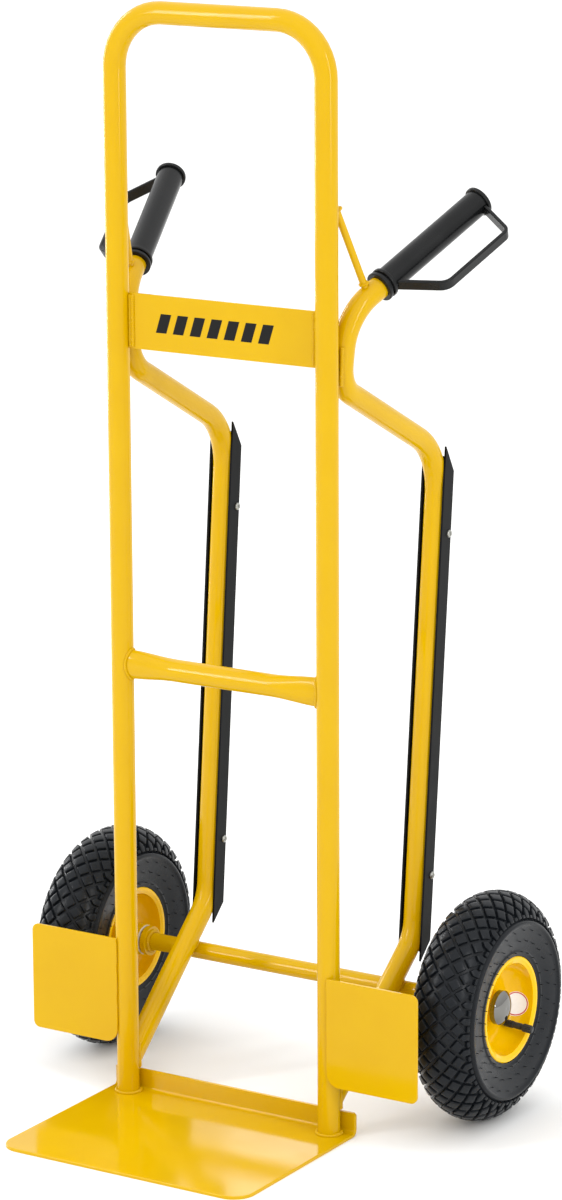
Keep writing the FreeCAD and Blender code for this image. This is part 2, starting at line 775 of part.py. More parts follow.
def guard_outline(offset):
    """The guard's D-shaped outline; offset grows it outwards."""
    low_run = (GUARD_LOW - GUARD_ROOT) / GUARD_REACH
    high_run = (GUARD_TIP - GUARD_HIGH) / GUARD_REACH
    reach = GUARD_REACH + offset
    low_shift = offset * math.hypot(1, low_run)
    high_shift = offset * math.hypot(1, high_run)
    corners = [
        on_grip(GUARD_ROOT - low_shift, 0),
        on_grip(GUARD_ROOT - low_shift + low_run * reach, reach),
        on_grip(GUARD_TIP + high_shift - high_run * reach, reach),
        on_grip(GUARD_TIP + high_shift, 0),
    ]
    radii = [0, GUARD_LOW_ROUND + offset, GUARD_HIGH_ROUND + offset, 0]
    normal = grip_axes()[2]
    face = rounded_outline(corners, radii, normal)
    face.translate(normal * (-GUARD_WIDTH / 2))
    return face.extrude(normal * GUARD_WIDTH)


def grip():
    """The right grip: sleeve, collar rings, closed end and hand guard."""
    sleeve = rod(on_grip(0, 0), on_grip(GRIP_LENGTH, 0), GRIP_DIA / 2)
    ring_starts = [
        0,
        GRIP_RING_WIDTH + GRIP_RING_GAP,
        GRIP_LENGTH - GRIP_RING_WIDTH,
    ]
    for start in ring_starts:
        collar = rod(on_grip(start, 0), on_grip(start + GRIP_RING_WIDTH, 0), GRIP_RING_DIA / 2)
        collar = collar.makeFillet(GRIP_EDGE_ROUND, round_edges(collar))
        sleeve = sleeve.fuse(collar)
    loop = guard_outline(GUARD_THICK / 2).cut(guard_outline(-GUARD_THICK / 2))
    inside = rod(on_grip(-GRIP_LENGTH, 0), on_grip(2 * GRIP_LENGTH, 0), GRIP_DIA / 2)
    loop = biggest(loop.cut(inside))
    loop = loop.makeFillet(GRIP_EDGE_ROUND, long_edges(loop))
    bore = rod(on_grip(-1, 0), on_grip(GRIP_LENGTH - GRIP_END_WALL, 0), TUBE_R + PRESS_GAP)
    return biggest(sleeve.fuse(loop).cut(bore).removeSplitter())


def round_edges(shape):
    """A cylinder's two circular edges."""
    return [edge for edge in shape.Edges if isinstance(edge.Curve, Part.Circle)]


def long_edges(loop):
    """The guard band's edges along its path, not those against the sleeve."""
    chosen = []
    normal = grip_axes()[2]
    origin = on_grip(0, 0)
    for edge in loop.Edges:
        middle = edge.valueAt((edge.FirstParameter + edge.LastParameter) / 2) - origin
        height = abs(middle.dot(normal))
        tangent = edge.tangentAt((edge.FirstParameter + edge.LastParameter) / 2)
        if abs(height - GUARD_WIDTH / 2) < 1e-3 and abs(tangent.dot(normal)) < 1e-3:
            chosen.append(edge)
    return chosen


# ---------------------------------------------------------------- glides
def glide_axes():
    """The rear run's foot, direction and rearward normal."""
    foot, head = rear_corners()[1:3]
    along = (head - foot).normalize()
    return foot, along, along.cross(X_AXIS).normalize()


def on_glide(sideways, back, station):
    """A point on the rear run: outboard, behind and along it."""
    foot, along, rearward = glide_axes()
    return foot + X_AXIS * sideways + rearward * back + along * station


def glide_run():
    """Length of the rear run, from corner to corner."""
    foot, head = rear_corners()[1:3]
    return (head - foot).Length


def tip_back(corner, bend, past):
    """How far back the tube's outside lies, past a corner of the rear run."""
    before, here, after = rear_corners()[corner - 1:corner + 2]
    opening = (before - here).getAngle(after - here)
    setback = bend / math.tan(opening / 2)
    return math.sqrt((bend + TUBE_R) ** 2 - (setback + past) ** 2) - bend


def glide():
    """The right stair glide: a channel with a runner behind the tube."""
    run = glide_run()
    low = -2 * GLIDE_TIP_LOW
    high = run + 4 * GLIDE_TIP
    section = closed_face(
        [
            on_glide(-GLIDE_HALF_WIDTH, -GLIDE_FRONT, low),
            on_glide(-GLIDE_HALF_WIDTH, GLIDE_SIDE, low),
            on_glide(-GLIDE_RUNNER_HALF, GLIDE_DEPTH, low),
            on_glide(GLIDE_RUNNER_HALF, GLIDE_DEPTH, low),
            on_glide(GLIDE_HALF_WIDTH, GLIDE_SIDE, low),
            on_glide(GLIDE_HALF_WIDTH, -GLIDE_FRONT, low),
        ]
    )
    along = glide_axes()[1]
    bar = section.extrude(along * (high - low))
    far = GLIDE_HALF_WIDTH * 2
    side_view = closed_face(
        [
            on_glide(-far, -GLIDE_FRONT, GLIDE_FRONT_TRIM),
            on_glide(-far, -GLIDE_FRONT, run - GLIDE_FRONT_TRIM),
            on_glide(-far, tip_back(2, BACK_ROUND, GLIDE_TIP), run + GLIDE_TIP),
            on_glide(-far, GLIDE_DEPTH, run - GLIDE_BACK_TRIM),
            on_glide(-far, GLIDE_DEPTH, GLIDE_BACK_TRIM_LOW),
            on_glide(-far, tip_back(1, LOW_ROUND, GLIDE_TIP_LOW), -GLIDE_TIP_LOW),
        ]
    ).extrude(X_AXIS * (2 * far))
    bar = bar.common(side_view)
    slot_half = GLIDE_HALF_WIDTH - GLIDE_WALL
    slot = closed_face(
        [
            on_glide(-slot_half, 0, low),
            on_glide(slot_half, 0, low),
            on_glide(slot_half, -2 * GLIDE_FRONT, low),
            on_glide(-slot_half, -2 * GLIDE_FRONT, low),
        ]
    ).extrude(along * (high - low))
    bar = bar.cut(slot).cut(swept_bar(rear_route(), TUBE_R + WELD_GAP))
    return biggest(biggest(bar).cut(screw_holes()))


def screw_places():
    """Screw seats on both side faces: seat, direction inwards."""
    places = []
    for station in SCREW_STATIONS:
        for side in (1, -1):
            seat = on_glide(side * (GLIDE_HALF_WIDTH + SCREW_SEAT_GAP), SCREW_BACK, station)
            places.append((seat, X_AXIS * -side))
    return places


def screw_holes():
    """The holes that the glide's screws pass through."""
    holes = []
    for seat, inward in screw_places():
        start = seat - inward * SCREW_HEAD
        end = seat + inward * (SCREW_LENGTH + SCREW_GAP)
        holes.append(rod(start, end, SCREW_DIA / 2 + SCREW_GAP))
    return Part.makeCompound(holes)


def glide_screws():
    """The pan-head screws of one glide, as a group."""
    screws = []
    for seat, inward in screw_places():
        head = rod(seat - inward * SCREW_HEAD, seat, SCREW_HEAD_DIA / 2)
        crown = seat.x - inward.x * SCREW_HEAD
        top = [edge for edge in round_edges(head) if abs(edge.BoundBox.XMin - crown) < 1e-3]
        head = head.makeFillet(SCREW_HEAD_ROUND, top)
        shank = rod(seat, seat + inward * SCREW_LENGTH, SCREW_DIA / 2)
        screws.append(head.fuse(shank).removeSplitter())
    return Part.makeCompound(screws)


# ---------------------------------------------------------------- weld beads
def foot_bead():
    """The bead round the right upright's foot, on the toe plate."""
    base = Vector(RAIL_X, 0, TOE_THICK + WELD_GAP)
    inner = TUBE_R + WELD_GAP
    cone = Part.makeCone(inner + FOOT_WELD, inner, FOOT_WELD, base, Z_AXIS)
    cone = cone.cut(Part.makeCylinder(inner, FOOT_WELD, base, Z_AXIS))
    bend_start = TUBE_R - FLANGE_BEND
    behind = block(
        Vector(RAIL_X - TUBE_DIA, bend_start, 0),
        Vector(RAIL_X + TUBE_DIA, TUBE_DIA + FOOT_WELD, FLANGE_HEIGHT),
    )
    return biggest(cone.cut(behind))


def bar_bead():
    """The bead round the cross bar's right end."""
    end = RAIL_X - TUBE_R
    swollen = bar_section(end - BAR_WELD, 1, -BAR_WELD / 2)
    sleeve = Part.Face(swollen).extrude(X_AXIS * (BAR_WELD + TUBE_R / 2))
    return biggest(sleeve.cut(bar_solid(-WELD_GAP)).cut(upright_bar()))


def plate_beads():
    """Two upright beads at the name plate's right end, front and back."""
    beads = []
    contact = RAIL_X - math.sqrt(TUBE_R ** 2 - PLATE_Y ** 2)
    for side in (-1, 1):
        face = PLATE_Y + side * (PLATE_THICK / 2 + WELD_GAP)
        line = rod(
            Vector(contact, face, PLATE_BOTTOM + PLATE_WELD),
            Vector(contact, face, PLATE_TOP - PLATE_WELD),
            PLATE_WELD,
        )
        plate_space = block(
            Vector(0, PLATE_Y - PLATE_THICK / 2 - WELD_GAP, PLATE_BOTTOM),
            Vector(RAIL_X, PLATE_Y + PLATE_THICK / 2 + WELD_GAP, PLATE_TOP),
        )
        beads.append(biggest(line.cut(plate_space).cut(upright_bar())))
    return beads


def neck_beads():
    """Beads along both sides of the joint between neck and upright."""
    middle_z = (NECK_LOW_Z + NECK_HIGH_Z) / 2 - NECK_WELD_WIDTH
    middle_x = RAIL_X + (NECK_LEAN_LOW + NECK_LEAN_HIGH) / 4
    half = NECK_WELD_WIDTH / 2
    slab = block(
        Vector(middle_x - half, 0, middle_z - NECK_WELD_LENGTH / 2),
        Vector(middle_x + half, TUBE_DIA, middle_z + NECK_WELD_LENGTH / 2),
    )
    rear = swept_bar(rear_route(), TUBE_R + WELD_GAP)
    pieces = slab.cut(upright_bar()).cut(rear).Solids
    ordered = sorted(pieces, key=lambda solid: -solid.Volume)
    return ordered[:2]


def shield_beads():
    """Stitch welds along the wheel guard's inner edge."""
    beads = []
    inner = RAIL_X + SHIELD_INNER
    front = shield_face() - SHIELD_THICK / 2
    pitch = (SHIELD_TOP - SHIELD_BOTTOM - SHIELD_FOOT_ROUND) / SHIELD_WELD_COUNT
    plate_space = block(
        Vector(inner - WELD_GAP, shield_face() - SHIELD_THICK - WELD_GAP, 0),
        Vector(SHIELD_OUTER, shield_face() + WELD_GAP, SHIELD_TOP),
    )
    for index in range(SHIELD_WELD_COUNT):
        middle = SHIELD_BOTTOM + SHIELD_FOOT_ROUND + pitch * (index + 0.5)
        line = rod(
            Vector(inner, front, middle - SHIELD_WELD_LENGTH / 2),
            Vector(inner, front, middle + SHIELD_WELD_LENGTH / 2),
            SHIELD_WELD,
        )
        beads.append(biggest(line.cut(plate_space).cut(upright_bar())))
    return beads


def axle_bead():
    """The weld between the axle and the right rear tube."""
    foot, bend = rear_corners()[:2]
    along = (bend - foot).normalize()
    station = (Vector(foot.x, AXLE_Y, AXLE_Z) - foot).dot(along)
    on_tube = foot + along * station
    on_axle = Vector(on_tube.x, AXLE_Y, AXLE_Z)
    plug = rod(on_axle, on_tube, AXLE_WELD_DIA / 2)
    plug = plug.cut(rod(foot, bend, TUBE_R + WELD_GAP))
    reach = X_AXIS * TUBE_DIA
    plug = plug.cut(rod(on_axle - reach, on_axle + reach, AXLE_R + WELD_GAP))
    return biggest(plug)


def stop_bead():
    """The fillet between the axle and its collar."""
    start = Vector(STOP_X - STOP_WELD - WELD_GAP, AXLE_Y, AXLE_Z)
    inner = AXLE_R + WELD_GAP
    cone = Part.makeCone(inner, inner + STOP_WELD, STOP_WELD, start, X_AXIS)
    return biggest(cone.cut(Part.makeCylinder(inner, STOP_WELD, start, X_AXIS)))


def slope_bead():
    """The bead round the sloped run's foot, on the upright."""
    foot, bend = rear_corners()[:2]
    along = (bend - foot).normalize()
    reach = TUBE_R / math.cos(SLOPE) + SLOPE_WELD
    collar = rod(foot, foot + along * (TUBE_DIA + reach), TUBE_R + SLOPE_WELD)
    collar = collar.cut(rod(foot, bend, TUBE_R + WELD_GAP)).cut(upright_bar())
    near = Part.makeCylinder(TUBE_R + SLOPE_WELD, FRAME_HEIGHT / 4, Vector(RAIL_X, 0, 0), Z_AXIS)
    bead = collar.common(near)
    above_flange = block(
        Vector(0, TUBE_R / 2, FLANGE_HEIGHT + WELD_GAP),
        Vector(2 * RAIL_X, 2 * TUBE_DIA, FRAME_HEIGHT / 4),
    )
    return biggest(bead.common(above_flange))


def brace_beads():
    """Small collars where the brace rod meets its two tubes."""
    top, foot = brace_ends()
    along = (foot - top).normalize()
    upright = upright_bar()
    rear = swept_bar(rear_route(), TUBE_R + WELD_GAP)
    rod_space = rod(top, foot, BRACE_DIA / 2 + WELD_GAP)
    visible = biggest(rod_space.cut(upright).cut(rear))
    beads = []
    for end, direction, tube in ((top, along, upright), (foot, along * -1, rear)):
        gap = visible.distToShape(Part.Vertex(end))[0]
        length = gap + BRACE_WELD * 2
        collar = rod(end, end + direction * length, BRACE_DIA / 2 + BRACE_WELD)
        collar = collar.cut(rod_space).cut(tube)
        beads.append(biggest(collar))
    return beads


def weld_beads():
    """Every weld bead of the frame, as a group of separate solids."""
    right = [foot_bead(), bar_bead(), axle_bead(), stop_bead(), slope_bead()]
    right += plate_beads()
    right += neck_beads()
    right += shield_beads()
    right += brace_beads()
    return Part.makeCompound(right + [mirrored(bead) for bead in right])


# ---------------------------------------------------------------- build
def main():
    """Builds and writes every sub-part."""
    os.makedirs("parts", exist_ok=True)
    export("front_frame", front_frame())
    export("toe_plate", toe_plate())
    export("cross_bar", cross_bar())
    export("name_plate", name_plate())
    export("axle", axle())
    export("weld_beads", weld_beads())
    export_pair("rear_tube", rear_tube())
    export_pair("brace_rod", brace_rod())
    export_pair("wheel_guard", wheel_guard())
    export_pair("axle_stop", axle_stop())
    export_pair("thrust_washer", thrust_washer())
    export_pair("axle_cap", axle_cap())
    export_pair("grip", grip())
    export_pair("glide", glide())
    export_pair("glide_screws", glide_screws())
    export_pair("tyre", tyre())
    export_pair("inner_tube", inner_tube())
    export_pair("rim_outer", rim_outer())
    export_pair("rim_inner", rim_inner())
    export_pair("hub", hub())
    export_pair("bush_inner", bush(HUB_INNER_X, 1))
    export_pair("bush_outer", bush(HUB_OUTER_X, -1))
    export_pair("valve_stem", valve_stem())
    export_pair("valve_cap", valve_cap())


main()
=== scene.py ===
import json
import math

import bmesh
import bpy
from mathutils import Matrix, Vector


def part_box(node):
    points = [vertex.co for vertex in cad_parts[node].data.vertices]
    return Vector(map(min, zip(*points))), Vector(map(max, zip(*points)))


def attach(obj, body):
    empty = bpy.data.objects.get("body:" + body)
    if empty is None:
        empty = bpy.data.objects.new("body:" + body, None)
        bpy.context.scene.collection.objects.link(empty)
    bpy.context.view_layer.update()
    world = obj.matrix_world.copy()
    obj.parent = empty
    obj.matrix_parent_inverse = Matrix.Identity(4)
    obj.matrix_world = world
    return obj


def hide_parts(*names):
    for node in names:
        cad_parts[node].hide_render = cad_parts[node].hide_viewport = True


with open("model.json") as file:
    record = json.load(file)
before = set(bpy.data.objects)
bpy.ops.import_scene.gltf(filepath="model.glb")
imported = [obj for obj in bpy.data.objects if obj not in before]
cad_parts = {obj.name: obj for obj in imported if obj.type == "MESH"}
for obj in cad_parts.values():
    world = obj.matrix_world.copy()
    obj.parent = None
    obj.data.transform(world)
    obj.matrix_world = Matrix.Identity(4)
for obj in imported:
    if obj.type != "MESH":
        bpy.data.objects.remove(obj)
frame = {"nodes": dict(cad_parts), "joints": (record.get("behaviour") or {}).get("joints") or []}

bl_info = {
    "name": "Hand truck looks",
    "version": (1, 0, 0),
    "blender": (4, 5, 0),
    "location": "View3D > Sidebar > Hand truck",
    "description": "Treaded tyres, weld beads, screws, marks and finishes for a hand truck",
    "category": "Object",
}

MM = 0.001
SIDES = {"right": 1, "left": -1}
HUBS = {joint["child"]: Vector(joint["pos_m"]) for joint in frame["joints"]}
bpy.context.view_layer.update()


# ---------------------------------------------------------------- sizes from the frame
def box_size(node):
    """A CAD node's size along each axis."""
    low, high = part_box(node)
    return high - low


WHEEL_R = box_size("tyre_right").z / 2
TYRE_HALF = box_size("tyre_right").x / 2
SECTION_R = WHEEL_R - TYRE_HALF
RIM_LIP_R = box_size("rim_outer_right").z / 2
TUBE_R = box_size("front_frame").y / 2
RAIL_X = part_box("front_frame")[1].x - TUBE_R
AXLE_R = box_size("axle").z / 2
PLATE_TOP_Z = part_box("front_frame")[0].z
RIM_WELL_R = RIM_LIP_R - 7.7 * MM
BOWL_ROUND = 21 * MM            # radius from the rim's well to its floor
AXLE_Y = HUBS["wheel_right"].y
AXLE_Z = HUBS["wheel_right"].z
SHOULDER = math.radians(70)     # where the crown's arc ends
TREAD_THICK = 9 * MM
VALVE_LEAN = math.radians(10)
VALVE_ANGLE = math.radians(-45)
STEM_R = 3.8 * MM
CAP_R = 4.3 * MM
CAP_REACH = 12.4 * MM
HEAD_R = 4.3 * MM               # the screws' pan heads
HEAD_HEIGHT = 2.4 * MM
CROSS_DEPTH = 1.2 * MM
CROSS_HALF = 0.42 * MM          # half the width of the cross recess
LABEL_ANGLE = math.radians(-12)
SLOPE_FOOT = Vector((RAIL_X, 0, 36 * MM))
LOW_BEND = Vector((RAIL_X + 5.4 * MM, 175 * MM, 182 * MM))
X_AXIS, Y_AXIS, Z_AXIS = Vector((1, 0, 0)), Vector((0, 1, 0)), Vector((0, 0, 1))


# ---------------------------------------------------------------- small tools
def linear(code):
    """A colour's sRGB hex code as linear light."""
    channels = []
    for place in (1, 3, 5):
        value = int(code[place:place + 2], 16) / 255
        channels.append(value / 12.92 if value <= 0.04045 else ((value + 0.055) / 1.055) ** 2.4)
    return (*channels, 1.0)


def add(tree, kind, inputs=None, **settings):
    """Adds one node: an input given as a node or a socket is linked, any other value is set."""
    node = tree.nodes.new(kind)
    for name, value in settings.items():
        setattr(node, name, value)
    for key, value in (inputs or {}).items():
        if isinstance(value, bpy.types.Node):
            value = value.outputs[0]
        if isinstance(value, bpy.types.NodeSocket):
            tree.links.new(value, node.inputs[key])
        else:
            node.inputs[key].default_value = value
    return node


def mesh_object(name, verts, faces, edges=()):
    """A mesh object at the origin, its faces turned outwards."""
    mesh = bpy.data.meshes.new(name)
    mesh.from_pydata([tuple(v) for v in verts], list(edges), faces)
    if faces:
        work = bmesh.new()
        work.from_mesh(mesh)
        bmesh.ops.recalc_face_normals(work, faces=work.faces)
        work.to_mesh(mesh)
        work.free()
    obj = bpy.data.objects.new(name, mesh)
    bpy.context.scene.collection.objects.link(obj)
    return obj


def soften(obj, degrees):
    """Smooth shading, with edges sharper than the angle left crisp."""
    obj.data.shade_smooth()
    obj.data.set_sharp_from_angle(angle=math.radians(degrees))


def lathe(name, profile, start, along, across, steps, wave=None):
    """A profile of (length, radius) pairs turned about a line; radius 0 closes an end."""
    along = along.normalized()
    first = (across - along * across.dot(along)).normalized()
    second = along.cross(first)
    verts = []
    rows = []
    for length, radius in profile:
        if radius <= 0:
            rows.append([len(verts)] * steps)
            verts.append(start + along * length)
            continue
        row = []
        for step in range(steps):
            angle = 2 * math.pi * step / steps
            reach = radius + (wave(step, length) if wave else 0)
            row.append(len(verts))
            spoke = first * math.cos(angle) + second * math.sin(angle)
            verts.append(start + along * length + spoke * reach)
        rows.append(row)
    faces = []
    closed = profile[0] == profile[-1]
    pairs = list(zip(rows, rows[1:]))
    if closed:
        verts = verts[:len(verts) - steps]
        pairs[-1] = (rows[-2], rows[0])
    for low, high in pairs:
        for step in range(steps):
            after = (step + 1) % steps
            corner = [low[step], low[after], high[after], high[step]]
            faces.append(list(dict.fromkeys(corner)))
    return mesh_object(name, verts, [face for face in faces if len(face) > 2])


def band(low, high, steps):
    """Quads between two closed rings, each given by its first corner's number."""
    quads = []
    for step in range(steps):
        after = (step + 1) % steps
        quads.append([low + step, low + after, high + after, high + step])
    return quads


def fan(ring, tip, steps):
    """Triangles from a closed ring, given by its first corner's number, to one corner."""
    return [[ring + step, ring + (step + 1) % steps, tip] for step in range(steps)]


def new_tree(name, sockets):
    """An empty geometry tree with its named inputs."""
    tree = bpy.data.node_groups.new(name, "GeometryNodeTree")
    tree.interface.new_socket("Geometry", in_out="INPUT", socket_type="NodeSocketGeometry")
    tree.interface.new_socket("Geometry", in_out="OUTPUT", socket_type="NodeSocketGeometry")
    for label, kind in sockets:
        tree.interface.new_socket(label, in_out="INPUT", socket_type=kind)
    return tree, add(tree, "NodeGroupInput").outputs, add(tree, "NodeGroupOutput")


def grow(obj, tree, values):
    """Runs a tree on an object and keeps the result as its plain mesh."""
    modifier = obj.modifiers.new(tree.name, "NODES")
    modifier.node_group = tree
    for item in tree.interface.items_tree:
        if item.in_out == "INPUT" and item.name in values:
            modifier[item.identifier] = values[item.name]
    bpy.context.view_layer.update()
    graph = bpy.context.evaluated_depsgraph_get()
    made = bpy.data.meshes.new_from_object(obj.evaluated_get(graph), depsgraph=graph)
    obj.modifiers.clear()
    spent = obj.data
    obj.data = made
    bpy.data.meshes.remove(spent)
    made.name = obj.name
    if not made.polygons:
        raise RuntimeError(f"{obj.name} came out empty")
    return obj


def wear(obj, finish):
    """Gives a whole piece one finish."""
    obj.data.materials.clear()
    obj.data.materials.append(finish)
    return obj


# ---------------------------------------------------------------- settings
class TyreSettings(bpy.types.PropertyGroup):
    """Sizes of the moulded tread."""

    blocks_round: bpy.props.IntProperty(
        name="Blocks round", description="Diamond blocks round the tyre in one row", default=38, min=12)
    rows: bpy.props.IntProperty(
        name="Rows", description="Rows of diamond blocks across the crown", default=7, min=3)
    groove: bpy.props.FloatProperty(
        name="Groove", description="Width of the grooves between blocks", default=2.8 * MM, unit="LENGTH")
    depth: bpy.props.FloatProperty(
        name="Depth", description="Depth of the grooves", default=3.5 * MM, unit="LENGTH")
    lug: bpy.props.FloatProperty(
        name="Shoulder lug", description="Length of the shoulder lugs", default=14.0 * MM, unit="LENGTH")
    stubs: bpy.props.IntProperty(
        name="Vent stubs", description="Short moulding stubs on the sidewalls", default=168, min=0)


class BeadSettings(bpy.types.PropertyGroup):
    """Sizes of the welds."""

    ripple: bpy.props.FloatProperty(
        name="Ripple", description="From one ripple to the next", default=1.4 * MM, unit="LENGTH")
    scatter: bpy.props.FloatProperty(
        name="Scatter", description="Unevenness of the ripples, as a share", default=0.12, min=0, max=0.5)


class MarkSettings(bpy.types.PropertyGroup):
    """Sizes of the plain mark and the round label."""

    bars: bpy.props.IntProperty(
        name="Bars", description="Slanted bars printed on the name plate", default=7, min=1)
    height: bpy.props.FloatProperty(
        name="Height", description="Height of the bars", default=21.0 * MM, unit="LENGTH")
    length: bpy.props.FloatProperty(
        name="Length", description="Length of the row of bars", default=152.0 * MM, unit="LENGTH")
    shift: bpy.props.FloatProperty(
        name="Shift", description="Row's middle along the plate", default=-10.0 * MM, unit="LENGTH")
    label: bpy.props.FloatProperty(
        name="Label", description="Diameter of the round label in the rim", default=28.0 * MM, unit="LENGTH")


class PaintSettings(bpy.types.PropertyGroup):
    """Colours, as sRGB hex codes."""

    yellow: bpy.props.StringProperty(
        name="Powder coat", description="Colour of the frame", default="#D0A700")
    # brighter than the frame's yellow: partly the rims' own paint, partly painted light that makes up for the
    # shade in the rims' bowls
    rim_yellow_and_painted_light: bpy.props.StringProperty(
        name="Rim yellow, partly painted light", description="Colour of the rims", default="#EFC000")
    black: bpy.props.StringProperty(
        name="Plastic", description="Colour of the grips and glides", default="#0A0B0C")
    rubber: bpy.props.StringProperty(
        name="Tyre", description="Colour of the tyres", default="#111418")


class StageSettings(bpy.types.PropertyGroup):
    """The floor and the light."""

    floor: bpy.props.FloatProperty(
        name="Floor", description="Width of the floor", default=50.0, unit="LENGTH")
    key: bpy.props.FloatProperty(
        name="Key light", description="Power of the main softbox", default=44.0)
    edge: bpy.props.FloatProperty(
        name="Edge light", description="Power of the narrow light at the left", default=30.0)
    fill: bpy.props.FloatProperty(
        name="Fill light", description="Power of the second softbox", default=30.0)
    panel: bpy.props.FloatProperty(
        name="Low panels", description="Power of the two small panels behind the truck", default=0.5)
    sky: bpy.props.FloatProperty(
        name="Sky", description="Strength of the white surroundings overhead", default=1.45)
    horizon: bpy.props.FloatProperty(
        name="Horizon", description="Strength of the surroundings at floor level", default=1.0)


# ---------------------------------------------------------------- finishes
def blank(name):
    """A material with its output and its Object coordinates."""
    finish = bpy.data.materials.new(name)
    finish.use_nodes = True
    tree = finish.node_tree
    tree.nodes.clear()
    return finish, tree, add(tree, "ShaderNodeTexCoord").outputs["Object"]


def close(tree, shader):
    """Joins the shader to the material's output."""
    add(tree, "ShaderNodeOutputMaterial", {"Surface": shader})


def powder_coat(name, code):
    """Polyester powder coat baked on steel: even, glossy, with a faint orange peel."""
    finish, tree, place = blank(name)
    drift = add(tree, "ShaderNodeTexNoise", {"Vector": place, "Scale": 1 / (60 * MM), "Detail": 3.0})
    base = linear(code)
    deep = tuple(part * share for part, share in zip(base, (0.93, 0.88, 0.9, 1.0)))
    tone = add(tree, "ShaderNodeMix", {"Factor": drift.outputs["Fac"], 6: base, 7: deep}, data_type="RGBA")
    # the peel's cells are about 1.6 mm across
    peel = add(tree, "ShaderNodeTexNoise", {"Vector": place, "Scale": 1 / (1.6 * MM), "Detail": 1.0})
    skin = add(tree, "ShaderNodeBump", {
        "Height": peel.outputs["Fac"], "Strength": 0.06, "Distance": 0.12 * MM})
    gloss = add(tree, "ShaderNodeMapRange", {
        "Value": drift.outputs["Fac"], "From Min": 0.3, "From Max": 0.7, "To Min": 0.09, "To Max": 0.14})
    shader = add(tree, "ShaderNodeBsdfPrincipled", {
        "Base Color": tone.outputs[2], "Roughness": gloss, "Normal": skin,
        "Specular IOR Level": 0.22})
    close(tree, shader)
    return finish


def moulded(name, code, rough, grain, relief, shine=0.5, stretch=(1, 1, 1)):
    """Moulded or extruded plastic or rubber with a fine grain."""
    finish, tree, place = blank(name)
    turned = add(tree, "ShaderNodeMapping", {"Vector": place, "Scale": stretch})
    fine = add(tree, "ShaderNodeTexNoise", {"Vector": turned, "Scale": 1 / grain, "Detail": 2.0})
    broad = add(tree, "ShaderNodeTexNoise", {"Vector": place, "Scale": 1 / (25 * MM), "Detail": 4.0})
    base = linear(code)
    pale = tuple(min(1.0, part * 1.35 + 0.004) for part in base[:3]) + (1.0,)
    tone = add(tree, "ShaderNodeMix", {"Factor": broad.outputs["Fac"], 6: base, 7: pale}, data_type="RGBA")
    skin = add(tree, "ShaderNodeBump", {
        "Height": fine.outputs["Fac"], "Strength": relief, "Distance": 0.2 * MM})
    gloss = add(tree, "ShaderNodeMapRange", {
        "Value": broad.outputs["Fac"], "From Min": 0.3, "From Max": 0.7,
        "To Min": rough - 0.06, "To Max": rough + 0.06})
    shader = add(tree, "ShaderNodeBsdfPrincipled", {
        "Base Color": tone.outputs[2], "Roughness": gloss, "Normal": skin,
        "Specular IOR Level": shine})
    close(tree, shader)
    return finish


def plated(name, code, rough, grain):
    """Plated metal: chrome when smooth, zinc when rougher."""
    finish, tree, place = blank(name)
    smear = add(tree, "ShaderNodeTexNoise", {"Vector": place, "Scale": 1 / grain, "Detail": 3.0})
    gloss = add(tree, "ShaderNodeMapRange", {
        "Value": smear.outputs["Fac"], "From Min": 0.3, "From Max": 0.7,
        "To Min": rough * 0.7, "To Max": rough * 1.4})
    shader = add(tree, "ShaderNodeBsdfPrincipled", {
        "Base Color": linear(code), "Metallic": 1.0, "Roughness": gloss})
    close(tree, shader)
    return finish


def printed(name, code, rough):
    """Screen ink or label vinyl, with a slightly uneven film."""
    finish, tree, place = blank(name)
    film = add(tree, "ShaderNodeTexNoise", {"Vector": place, "Scale": 1 / (4 * MM), "Detail": 2.0})
    base = linear(code)
    deep = tuple(part * 0.9 for part in base[:3]) + (1.0,)
    tone = add(tree, "ShaderNodeMix", {"Factor": film.outputs["Fac"], 6: base, 7: deep}, data_type="RGBA")
    shader = add(tree, "ShaderNodeBsdfPrincipled", {
        "Base Color": tone.outputs[2], "Roughness": rough, "Specular IOR Level": 0.2})
    close(tree, shader)
    return finish


def finishes():
    """Every finish of the truck by name, made once."""
    paint = bpy.context.scene.truck_paint
    if "Tyre rubber" not in bpy.data.materials:
        powder_coat("Yellow powder coat", paint.yellow)
        # the rims get a brighter copy of the frame's yellow: partly their own paint, partly painted light for
        # the shade in the bowls
        powder_coat("Yellow rim enamel", paint.rim_yellow_and_painted_light)
        moulded("Tyre rubber", paint.rubber, 0.30, 0.9 * MM, 0.15, 0.16)
        moulded("Grip PVC", paint.black, 0.24, 0.7 * MM, 0.06, 0.22)
        # extruded: the grain is drawn out along the run
        moulded("Extruded polyethylene", paint.black, 0.38, 0.8 * MM, 0.12, 0.08, (1, 1, 0.03))
        moulded("Butyl tube", "#1B1B1C", 0.6, 1.0 * MM, 0.2)
        moulded("Valve rubber", "#1E1F20", 0.45, 0.6 * MM, 0.15)
        moulded("Nylon bush", "#CFCBBE", 0.4, 0.8 * MM, 0.1)
        # far darker than real chrome: painted shade standing in for dark surroundings in the cap's reflection
        plated("Chrome plate", "#7F7E7B", 0.06, 12 * MM)
        plated("Zinc plate", "#A6A6A0", 0.30, 3 * MM)
        printed("Black ink", "#0C0B0A", 0.45)
        printed("Label vinyl", "#F7F6F4", 0.35)
        printed("Label ring", "#C8372D", 0.35)
    return bpy.data.materials


# ---------------------------------------------------------------- tyres
def inset(outline, distance):
    """An outline, counter-clockwise, with its sides moved in by a distance."""
    moved = []
    for index, here in enumerate(outline):
        before = (here - outline[index - 1]).normalized()
        after = (outline[(index + 1) % len(outline)] - here).normalized()
        inward = Vector((-before.y - after.y, before.x + after.x))
        moved.append(here + inward * (distance / (1 + before.dot(after))))
    return moved


def divided(outline, parts):
    """An outline with each side cut into equal parts, so that it can bend."""
    ring = []
    for index, here in enumerate(outline):
        after = outline[(index + 1) % len(outline)]
        ring += [here.lerp(after, step / parts) for step in range(parts)]
    return ring


